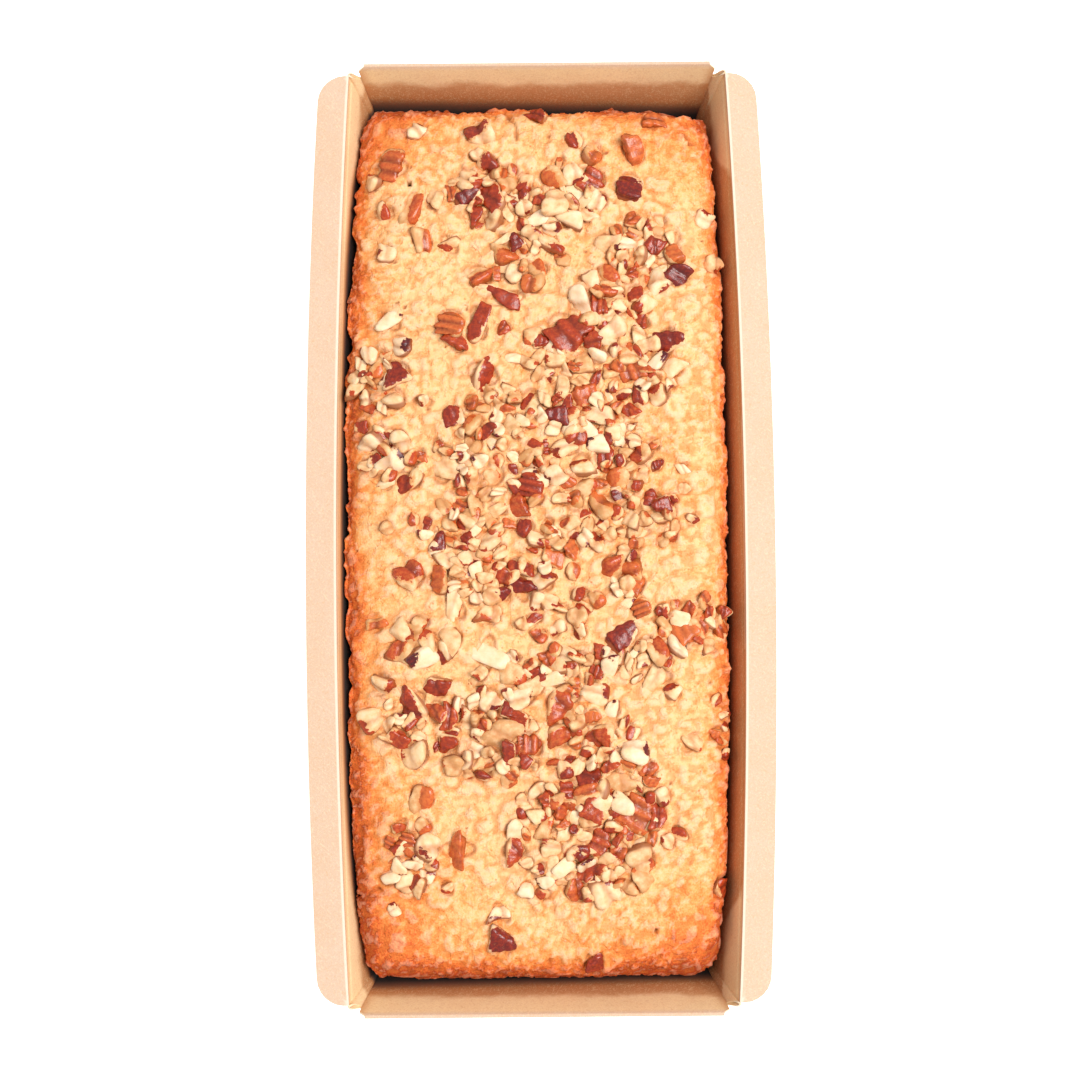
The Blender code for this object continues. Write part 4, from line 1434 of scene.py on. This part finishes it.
def point_normals(points, faces):
    """Normals of the smooth loaf, read from a mesh of it."""
    mesh = bpy.data.meshes.new("smooth_loaf")
    mesh.from_pydata(points.tolist(), [], faces)
    mesh.update()
    facing = normals_of(mesh)
    bpy.data.meshes.remove(mesh)
    return facing


facing = point_normals(loaf_points, loaf_faces)
top = np.arange(len(loaf_points)) < top_count
lump_height, lump_line = buried_lumps(loaf_points + shifts(loaf_points, 1.5 * MM, 131, 0.5))
height += lump_height
lump_line *= soft_step(cloud(loaf_points, 3.0 * MM, 134), -0.5, 0.4)
# The seat ring is browning with painted contact shadow.
seat_height, seat_browning_and_shade = nut_seats(loaf_points)
# Painted light and shade: lighter where a point stands above its neighbours, darker in the hollows.
cobble_light_and_shade = np.clip(0.5 + (height - local_mean(height, BLUR_STEPS)) / CAVITY_RANGE, 0.0, 1.0)
rise = height + np.where(top, seat_height, 0.0)
steep = 1.0 - np.clip(facing[:, 2], 0.0, 1.0)
rise = np.where(steep > 0.5, np.minimum(rise, OUTWARD_LIMIT), rise)
rise = np.where(top, rise, np.clip(rise, *SIDE_RELIEF))
crust_points = ragged_edge(loaf_points) + facing * rise[:, None]
crust_points[:, 2] = np.maximum(crust_points[:, 2], CAKE_FLOOR)
print("relief, mm:", round(rise.min() / MM, 2), "to", round(rise.max() / MM, 2))

# %% [markdown]
# ## The crust's finish
#
# Baked crust goes from pale straw through gold to red-brown. Light and shade are painted on
# its relief: the tops of the cobbles are painted paler than the seams between them. A ramp over
# the stored browning gives the main colour, and fine noise breaks it up. The stored cobble
# height lifts it with a painted highlight or deepens it with painted shade, and the borders of
# a wandering cell pattern draw thin seams of painted shade, as do the lines round buried nuts.
# Pits and cracks are painted dark red and the deep holes near-black, all as shade, and each
# nut's seat has a ring of browning with painted shadow. A little light goes into the surface,
# so the pale crumb looks soft.

# %% Crust finish
CRUST_STOPS = (
    (0.0, (0.97, 0.580, 0.270)),
    (0.22, (0.97, 0.480, 0.182)),
    (0.45, (0.96, 0.355, 0.095)),
    (0.66, (0.90, 0.225, 0.048)),
    (0.85, (0.72, 0.130, 0.026)),
    (1.0, (0.45, 0.068, 0.015)),
)
# Painted highlight on the raised spots of the crust.
CRUMB_HIGHLIGHT = (0.99, 0.645, 0.445)
# Painted shade in the hollows, the seams and the lines round buried nuts.
CREVICE_SHADE = (0.70, 0.20, 0.042)
FRECKLE = (0.85, 0.20, 0.05)
# Painted shade in the pits and cracks.
PIT_SHADE_RED = (0.26, 0.045, 0.014)
# Painted shadow deep inside the holes.
HOLE_SHADOW = (0.012, 0.010, 0.008)
# Brown ring where a nut meets the crust: browning, with painted contact shadow.
SEAT_BROWNING_AND_SHADE = (0.42, 0.095, 0.018)
# The level of painted light and shade on the hidden sides.
SIDE_LIGHT_AND_SHADE = 0.4


def crust_finish():
    """Pale gold to red-brown crust, mottled, with painted light and shade on its relief and dark painted
    shade in its pits.
    """
    finish, tree, shader, place = new_finish("baked_crust", 0.55)
    fine = speckle(tree, place, 0.45 * MM, 3.0, 0.6)
    patch = speckle(tree, place, 2.6 * MM, 5.0, 0.62)
    wander = add(tree, "ShaderNodeTexNoise", {"Vector": place, "Scale": 1.0 / (1.6 * MM), "Detail": 3.0})
    inputs = {0: wander.outputs["Color"], "Scale": 2.2 * MM}
    wander = add(tree, "ShaderNodeVectorMath", inputs, operation="SCALE").outputs["Vector"]
    bent = add(tree, "ShaderNodeVectorMath", {0: place, 1: wander}, operation="ADD").outputs["Vector"]
    border = add(tree, "ShaderNodeTexVoronoi", {"Vector": bent, "Scale": 1.0 / (3.6 * MM)},
                 feature="DISTANCE_TO_EDGE").outputs["Distance"]
    seam = times(tree, remap(tree, border, 0.10, 0.0), remap(tree, patch, 0.42, 0.56))
    seam = math_node(tree, "MAXIMUM", seam, attribute(tree, "line"))
    shift = plus(tree, about_half(tree, patch, 1.15), about_half(tree, fine, 0.95))
    tone = plus(tree, attribute(tree, "brown"), shift, clamp=True)
    colour = ramp(tree, tone, CRUST_STOPS)
    # Painted light: a highlight on the raised spots and shade in the hollows and seams.
    lit = attribute(tree, "cobble_light_and_shade")
    painted_highlight = times(tree, remap(tree, lit, 0.45, 1.0, 0.0, 0.4),
                     remap(tree, tone, 0.9, 0.1, 0.6, 1.0))
    colour = mix(tree, painted_highlight, colour, CRUMB_HIGHLIGHT)
    colour = cover(tree, colour, CREVICE_SHADE, lit, 0.44, 0.0, 0.44)
    colour = mix(tree, times(tree, seam, 0.29), colour, CREVICE_SHADE)
    dots = add(tree, "ShaderNodeTexVoronoi", {"Vector": place, "Scale": 1.0 / (1.5 * MM)}).outputs["Distance"]
    freckle = times(tree, remap(tree, dots, 0.23, 0.09), remap(tree, patch, 0.44, 0.55))
    colour = mix(tree, times(tree, freckle, 0.7), colour, FRECKLE)
    # The seat ring: browning, with painted contact shadow.
    colour = mix(tree, times(tree, attribute(tree, "seat"), 0.62), colour, SEAT_BROWNING_AND_SHADE)
    # Painted shade: dark red in pits and cracks, near-black in the deep holes.
    colour = mix(tree, attribute(tree, "hollow"), colour, PIT_SHADE_RED)
    colour = mix(tree, attribute(tree, "hole"), colour, HOLE_SHADOW)
    tree.links.new(colour, shader.inputs["Base Color"])
    soften(shader, 0.2, 0.10, (1.0, 0.45, 0.18), 0.9 * MM)
    grain = plus(tree, fine, times(tree, speckle(tree, place, 0.3 * MM), 0.4))
    grain = math_node(tree, "SUBTRACT", grain, times(tree, seam, 0.5))
    bump(tree, shader, grain, 0.42 * MM, 0.7)
    return finish


def make_crust():
    """The loaf as one closed mesh with its marks stored on it."""
    mesh = bpy.data.meshes.new("cake_crust")
    mesh.from_pydata(crust_points.tolist(), [], loaf_faces)
    mesh.update()
    mesh.shade_smooth()
    mesh.materials.append(crust_finish())
    store(mesh, "brown", brown)
    store(mesh, "cobble_light_and_shade", np.where(top, cobble_light_and_shade, SIDE_LIGHT_AND_SHADE))
    marks = {"hollow": hollow, "line": lump_line, "seat": seat_browning_and_shade, "hole": hole}
    for name, values in marks.items():
        store(mesh, name, np.where(top, values, 0.0))
    return link(bpy.data.objects.new("cake_crust", mesh))


cake_crust = make_crust()
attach(cake_crust, "root")
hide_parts("cake")
print("crust:", len(cake_crust.data.polygons), "faces")

# %% [markdown]
# ## Chopped pecans
#
# A knife leaves blocks with flat cream faces, and one side often keeps the curved, ridged,
# red-brown skin. Each kind is a small set of such blocks. A block starts as a ball, whose
# points are pulled in to a handful of cut planes; a soft rule for the nearest plane keeps
# the corners rounded, as in a worn crystal. How deep a point is inside the skin is stored,
# so the border between skin and flesh can be sharp and ragged in the finish.

# %% Shapes of the pieces
# Each kind: how many blocks, where the skin starts, how far up it faces, flatness, extra cuts,
# depth of the ridges and of the fold, curve, and fineness of the mesh
KIND_FIELDS = ("variants", "skin", "up", "flat", "cuts", "ridges", "fold", "curve", "detail")
KIND_ROWS = {
    "flesh": (14, 0.80, 0.1, 0.80, 6, 0.0, 0.28, 0.34, 3),
    "half": (14, 0.30, 0.40, 0.82, 6, 0.04, 0.22, 0.3, 3),
    "skin": (8, -0.10, 0.8, 0.74, 4, 0.14, 0.15, 0.3, 4),
    "dark": (4, -0.20, 0.8, 0.70, 4, 0.16, 0.15, 0.25, 4),
    "ridged": (4, -0.30, 1.0, 0.64, 4, 0.34, 0.0, 0.12, 4),
    "slice": (4, 0.97, 0.0, 0.46, 4, 0.0, 0.1, 0.25, 3),
}
KINDS = {kind: dict(zip(KIND_FIELDS, row)) for kind, row in KIND_ROWS.items()}
BLOCK_SEED = 300
PLANE_JITTER = 0.17
BOX_FACES = (0.86, 1.0)
CUT_FACES = (0.32, 0.58)
BLOCK_LUMPS = 0.13
SKIN_SPREAD = 0.10
SKIN_WANDER = 0.20
PLANE_SHARPNESS = 9.0
RIDGES_ALONG = 3.2
TAPER_MOST = 0.55
FOLD_HALF = 0.20


def unit(vector):
    """The same direction with length 1."""
    return vector / np.linalg.norm(vector)


def cut_planes(draw, cuts):
    """Directions and distances of a block's faces: a jittered box and some extra cuts."""
    planes = []
    for axis, sign in itertools.product(range(3), (-1.0, 1.0)):
        facing = np.zeros(3)
        facing[axis] = sign
        planes.append((unit(facing + draw.normal(0.0, PLANE_JITTER, 3)), 0.5 * draw.uniform(*BOX_FACES)))
    for _ in range(cuts):
        planes.append((unit(draw.normal(0.0, 1.0, 3) * (1.0, 1.0, 0.8)), draw.uniform(*CUT_FACES)))
    return np.array([facing for facing, _ in planes]), np.array([far for _, far in planes])


def block_mesh(name, shape, draw):
    """One chopped block of unit size, with how deep in the skin each point is."""
    bm = bmesh.new()
    bmesh.ops.create_icosphere(bm, subdivisions=shape["detail"], radius=1.0)
    mesh = mesh_from(bm, name)
    ways = points_of(mesh)
    ways /= np.linalg.norm(ways, axis=1)[:, None]
    facing, far = cut_planes(draw, shape["cuts"])
    share = np.clip(ways @ facing.T, 0.0, None) / far
    radius = (share ** PLANE_SHARPNESS).sum(axis=1) ** (-1.0 / PLANE_SHARPNESS)
    radius *= 1.0 + BLOCK_LUMPS * cloud(ways + draw.uniform(0.0, 50.0), 0.6, 5)
    fold_way = unit(np.array((draw.normal(0.0, 1.0), draw.normal(0.0, 1.0), 0.25)))
    fold = np.exp(-((ways @ fold_way - draw.uniform(-0.2, 0.2)) / FOLD_HALF) ** 2)
    fold *= np.clip(ways[:, 2] + 0.3, 0.0, 1.0)
    fold *= shape["fold"] * draw.uniform(0.0, 2.2)
    radius *= 1.0 - fold
    turn = draw.uniform(0.0, 2.0 * math.pi)
    skin_way = unit(np.array((math.cos(turn), math.sin(turn), shape["up"] * draw.uniform(0.7, 1.6))))
    depth = ways @ skin_way - shape["skin"] + draw.normal(0.0, SKIN_SPREAD)
    depth += SKIN_WANDER * cloud(ways + 20.0, 0.5, 9)
    wave = np.cos(math.pi * RIDGES_ALONG * (ways[:, 0] * radius + draw.uniform(0.0, 1.0)))
    groove = shape["ridges"] * (1.0 - np.abs(wave)) * soft_step(depth, -0.05, 0.25)
    radius *= 1.0 - groove
    points = ways * radius[:, None]
    taper = draw.uniform(-TAPER_MOST, TAPER_MOST, 2)
    curve = draw.normal(0.0, shape["curve"])
    points[:, 1] = points[:, 1] * (1.0 + taper[0] * points[:, 0]) + curve * (points[:, 0] ** 2 - 0.08)
    points[:, 2] *= shape["flat"] * (1.0 + taper[1] * points[:, 0])
    mesh.vertices.foreach_set("co", points.ravel())
    mesh.update()
    mesh.shade_smooth()
    store(mesh, "skin", depth)
    # Height within the piece, for the painted shade at its foot.
    store(mesh, "level", points[:, 2] / shape["flat"])
    # Folds and skin grooves, where the finish paints shade.
    store(mesh, "fold", np.clip(4.0 * (fold + groove), 0.0, 1.0))
    return mesh


def block_library(kind):
    """A collection of the blocks of one kind, kept out of the scene."""
    group = bpy.data.collections.new(kind + "_blocks")
    draw = np.random.default_rng(sorted(KINDS).index(kind) + BLOCK_SEED)
    for i in range(KINDS[kind]["variants"]):
        name = f"{kind}_block_{i:02d}"
        group.objects.link(bpy.data.objects.new(name, block_mesh(name, KINDS[kind], draw)))
    return group


print("blocks:", sum(shape["variants"] for shape in KINDS.values()))

# %% [markdown]
# ## Scattering the pieces with Geometry Nodes
#
# Each nut is one point with a turn, a size, a tint and the number of its block, worked out
# from the layout. One tree serves every kind: Instance on Points picks the numbered block
# from the collection, Realize Instances makes it real mesh and Set Material paints it. The
# finished mesh is then taken off the modifier, because only plain meshes are kept.

# %% A tree that puts blocks on points


def scatter_tree(name):
    """Points in, blocks out; the inputs are the blocks, their size and their finish."""
    tree = bpy.data.node_groups.new(name, "GeometryNodeTree")
    inputs = {"Points": "Geometry", "Blocks": "Collection", "Size factor": "Float", "Finish": "Material"}
    for label, kind in inputs.items():
        tree.interface.new_socket(label, in_out="INPUT", socket_type="NodeSocket" + kind)
    tree.interface.items_tree["Size factor"].default_value = 1.0
    tree.interface.new_socket("Pieces", in_out="OUTPUT", socket_type="NodeSocketGeometry")
    start = tree.nodes.new("NodeGroupInput").outputs

    def named(kind, label):
        """A value stored on the points."""
        node = add(tree, "GeometryNodeInputNamedAttribute", {"Name": label}, data_type=kind)
        return node.outputs["Attribute"]

    inputs = {"Collection": start["Blocks"], "Separate Children": True, "Reset Children": True}
    blocks = add(tree, "GeometryNodeCollectionInfo", inputs).outputs["Instances"]
    inputs = {0: named("FLOAT_VECTOR", "size"), "Scale": start["Size factor"]}
    scale = add(tree, "ShaderNodeVectorMath", inputs, operation="SCALE").outputs["Vector"]
    inputs = {"Euler": named("FLOAT_VECTOR", "turn")}
    turn = add(tree, "FunctionNodeEulerToRotation", inputs).outputs["Rotation"]
    placed = add(tree, "GeometryNodeInstanceOnPoints", {
        "Points": start["Points"], "Instance": blocks, "Pick Instance": True,
        "Instance Index": named("INT", "block"), "Rotation": turn, "Scale": scale}).outputs["Instances"]
    real = add(tree, "GeometryNodeRealizeInstances", {"Geometry": placed}).outputs["Geometry"]
    painted = add(tree, "GeometryNodeSetMaterial", {"Geometry": real, "Material": start["Finish"]})
    end = tree.nodes.new("NodeGroupOutput")
    tree.links.new(painted.outputs["Geometry"], end.inputs["Pieces"])
    return tree


def socket_of(tree, label):
    """The identifier of a tree's input, which a modifier is set by."""
    return next(item.identifier for item in tree.interface.items_tree
                if item.item_type == "SOCKET" and item.in_out == "INPUT" and item.name == label)


def bake_nodes(item, tree, **inputs):
    """Run a tree on an object and keep the result as its plain mesh."""
    run = item.modifiers.new("scatter", "NODES")
    run.node_group = tree
    for label, value in inputs.items():
        run[socket_of(tree, label.replace("_", " "))] = value
    apply_modifiers(item)


def point_cloud(name, places, **values):
    """Loose points with a stored value each, ready for a tree."""
    mesh = bpy.data.meshes.new(name)
    mesh.from_pydata([tuple(place) for place in places], [], [])
    for label, rows in values.items():
        rows = np.asarray(rows)
        kind, key = ("FLOAT_VECTOR", "vector") if rows.ndim == 2 else ("FLOAT", "value")
        whole = rows.dtype.kind == "i"
        layer = mesh.attributes.new(label, "INT" if whole else kind, "POINT")
        layer.data.foreach_set(key, rows.ravel().astype(np.int32 if whole else np.float32))
    return link(bpy.data.objects.new(name, mesh))


scatter = scatter_tree("blocks_on_points")
print("scatter tree:", len(scatter.nodes), "nodes")

# %% [markdown]
# ## Nut skin and flesh
#
# Toasted pecan flesh is cream with tan edges. The skin is glossy, red-brown to orange, and
# nearly purple on a few. Both are one finish: the stored skin depth, roughened with noise,
# switches between them, and the stored tint moves the skin from orange to purple. Shade is
# painted in as well: darker in the folds and grooves, and towards the foot where a piece
# sits in the crust.

# %% Nut finish
FLESH_STOPS = ((0.0, (0.66, 0.32, 0.12)), (0.4, (0.88, 0.55, 0.28)), (1.0, (0.95, 0.72, 0.48)))
SKIN_STOPS = ((0.0, (0.68, 0.160, 0.036)), (0.35, (0.46, 0.052, 0.012)), (0.7, (0.21, 0.016, 0.009)),
              (1.0, (0.06, 0.008, 0.013)))
FLESH_TOAST = (0.72, 0.27, 0.065)
SKIN_LIGHT = (0.76, 0.20, 0.060)
# Painted shade in the folds and grooves of each piece.
FOLD_SHADE_BROWN = (0.46, 0.14, 0.032)
FOLD_SHADE_DARK = (0.085, 0.010, 0.006)
# Painted shade on the lower part of each piece, where it sits in the crust.
NUT_FOOT_SHADE = (0.32, 0.075, 0.016)


def nut_finish(name, roughness, toast):
    """Cream flesh and glossy brown skin on one piece, with painted shade in its folds and towards its foot,
    where it sits in the crust.
    """
    finish, tree, shader, place = new_finish(name, roughness)
    tint = attribute(tree, "tint")
    ragged = speckle(tree, place, 1.0 * MM, 3.0, 0.6)
    depth = plus(tree, attribute(tree, "skin"), about_half(tree, ragged, 0.8))
    covered = remap(tree, depth, -0.02, 0.03)
    rim = times(tree, remap(tree, depth, -0.25, -0.02), toast)
    shade = speckle(tree, place, 1.9 * MM, 3.0, 0.55)
    flesh_tone = plus(tree, tint, about_half(tree, shade, 1.6), clamp=True)
    flesh = ramp(tree, flesh_tone, FLESH_STOPS)
    flesh = mix(tree, rim, flesh, FLESH_TOAST)
    streak = speckle(tree, place, 0.8 * MM, 4.0, 0.65)
    skin_tone = plus(tree, tint, about_half(tree, streak, 1.1), clamp=True)
    skin = ramp(tree, skin_tone, SKIN_STOPS)
    skin = cover(tree, skin, SKIN_LIGHT, streak, 0.60, 0.75, 0.35)
    # Painted shade in the folds and grooves.
    creases_and_painted_light = times(tree, attribute(tree, "fold"), 0.6)
    flesh = mix(tree, creases_and_painted_light, flesh, FOLD_SHADE_BROWN)
    skin = mix(tree, creases_and_painted_light, skin, FOLD_SHADE_DARK)
    colour = mix(tree, covered, flesh, skin)
    # Painted shade: darker towards the foot of the piece.
    colour = cover(tree, colour, NUT_FOOT_SHADE, attribute(tree, "level"), 0.10, -0.12, 0.85)
    tree.links.new(colour, shader.inputs["Base Color"])
    tree.links.new(remap(tree, covered, 0.0, 1.0, roughness, 0.24), shader.inputs["Roughness"])
    soften(shader, 0.45, 0.08, (1.0, 0.5, 0.25), 0.8 * MM)
    bump(tree, shader, plus(tree, shade, times(tree, streak, 0.5)), 0.25 * MM, 0.6)
    return finish


FINISHES = {kind: nut_finish(f"pecan_{kind}", 0.5, 0.7 if kind == "half" else 0.35) for kind in KINDS}
TINTS = {"flesh": (0.05, 0.9), "half": (0.0, 0.6), "skin": (0.0, 0.6), "dark": (0.5, 0.8),
         "ridged": (0.05, 0.45), "slice": (0.3, 0.8)}
print("nut finishes:", len(FINISHES))

# %% [markdown]
# ## Placing every nut
#
# A nut lies on the crust's slope, tipped a little and sunk by a good part of its thickness,
# as batter holds it. Where two land on the same spot the later one lies on top. Each kind
# becomes one mesh, because every piece of it shares one finish.

# %% Place every nut
TILT = {"flesh": 22.0, "half": 20.0, "skin": 16.0, "dark": 12.0, "ridged": 7.0, "slice": 9.0}
STACK_LIFT = 0.6 * MM
TOP_MARGIN = 0.02 * MM
TOP_SHARE = 0.95
PLACE_SEED = 900
THICK_SHARE = (0.8, 1.05)
CROWD_REACH = 0.62 / 1.3
MOST_STACKED = 2
NUT_SCALE = 1.28


def crust_frame(x, y, heading):
    """Turn of a piece that lies flat on the crust at a point."""
    step = 1.5 * MM
    slope_x = (crust_height(x + step, y) - crust_height(x - step, y)) / (2 * step)
    slope_y = (crust_height(x, y + step) - crust_height(x, y - step)) / (2 * step)
    lie = Vector((-slope_x, -slope_y, 1.0)).normalized().to_track_quat("Z", "Y").to_matrix()
    return lie @ Matrix.Rotation(math.radians(heading), 3, "Z")


def make_nuts(kind):
    """All the nuts of one kind as a single plain mesh."""
    draw = random.Random(sorted(KINDS).index(kind) + PLACE_SEED)
    library = block_library(kind)
    places, turns, sizes, tints, blocks = [], [], [], [], []
    for number, (x, y, length, width, heading, its_kind) in enumerate(nuts):
        if its_kind != kind:
            continue
        thick = min(length, width) * draw.uniform(*THICK_SHARE)
        crowd = sum(math.hypot(x - p[0], y - p[1]) < CROWD_REACH * (length + p[2]) for p in nuts[:number])
        lift = STACK_LIFT * min(crowd, MOST_STACKED) * draw.uniform(0.3, 1.0)
        seat = crust_frame(x, y, heading)
        flat = KINDS[kind]["flat"]
        clear = (0.5 - SUNK_SHARE) * thick * flat + lift
        spot = Vector((x, y, crust_height(x, y))) + seat @ Vector((0.0, 0.0, clear))
        tip = Matrix.Rotation(math.radians(draw.gauss(0.0, TILT[kind])), 3, "X")
        tip = tip @ Matrix.Rotation(math.radians(draw.gauss(0.0, TILT[kind])), 3, "Y")
        extent = (length, width, thick * flat)
        rise = sum(abs(value) * part / 2 for value, part in zip((seat @ tip)[2], extent))
        spot[2] = min(spot[2], cake_high[2] - TOP_SHARE * rise)
        places.append(spot)
        turns.append(tuple((seat @ tip).to_euler()))
        sizes.append((length * NUT_SCALE, width * NUT_SCALE, thick))
        tints.append(draw.uniform(*TINTS[kind]))
        blocks.append(draw.randrange(KINDS[kind]["variants"]))
    item = point_cloud("nuts_" + kind, places, turn=turns, size=sizes, tint=tints, block=blocks)
    bake_nodes(item, scatter, Blocks=library, Size_factor=1.0, Finish=FINISHES[kind])
    keep_between(item.data, -math.inf, cake_high[2] - TOP_MARGIN)
    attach(item, "root")
    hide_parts("cake")
    print(item.name, len(places), "pieces,", len(item.data.polygons), "faces")


for kind in KINDS:
    make_nuts(kind)
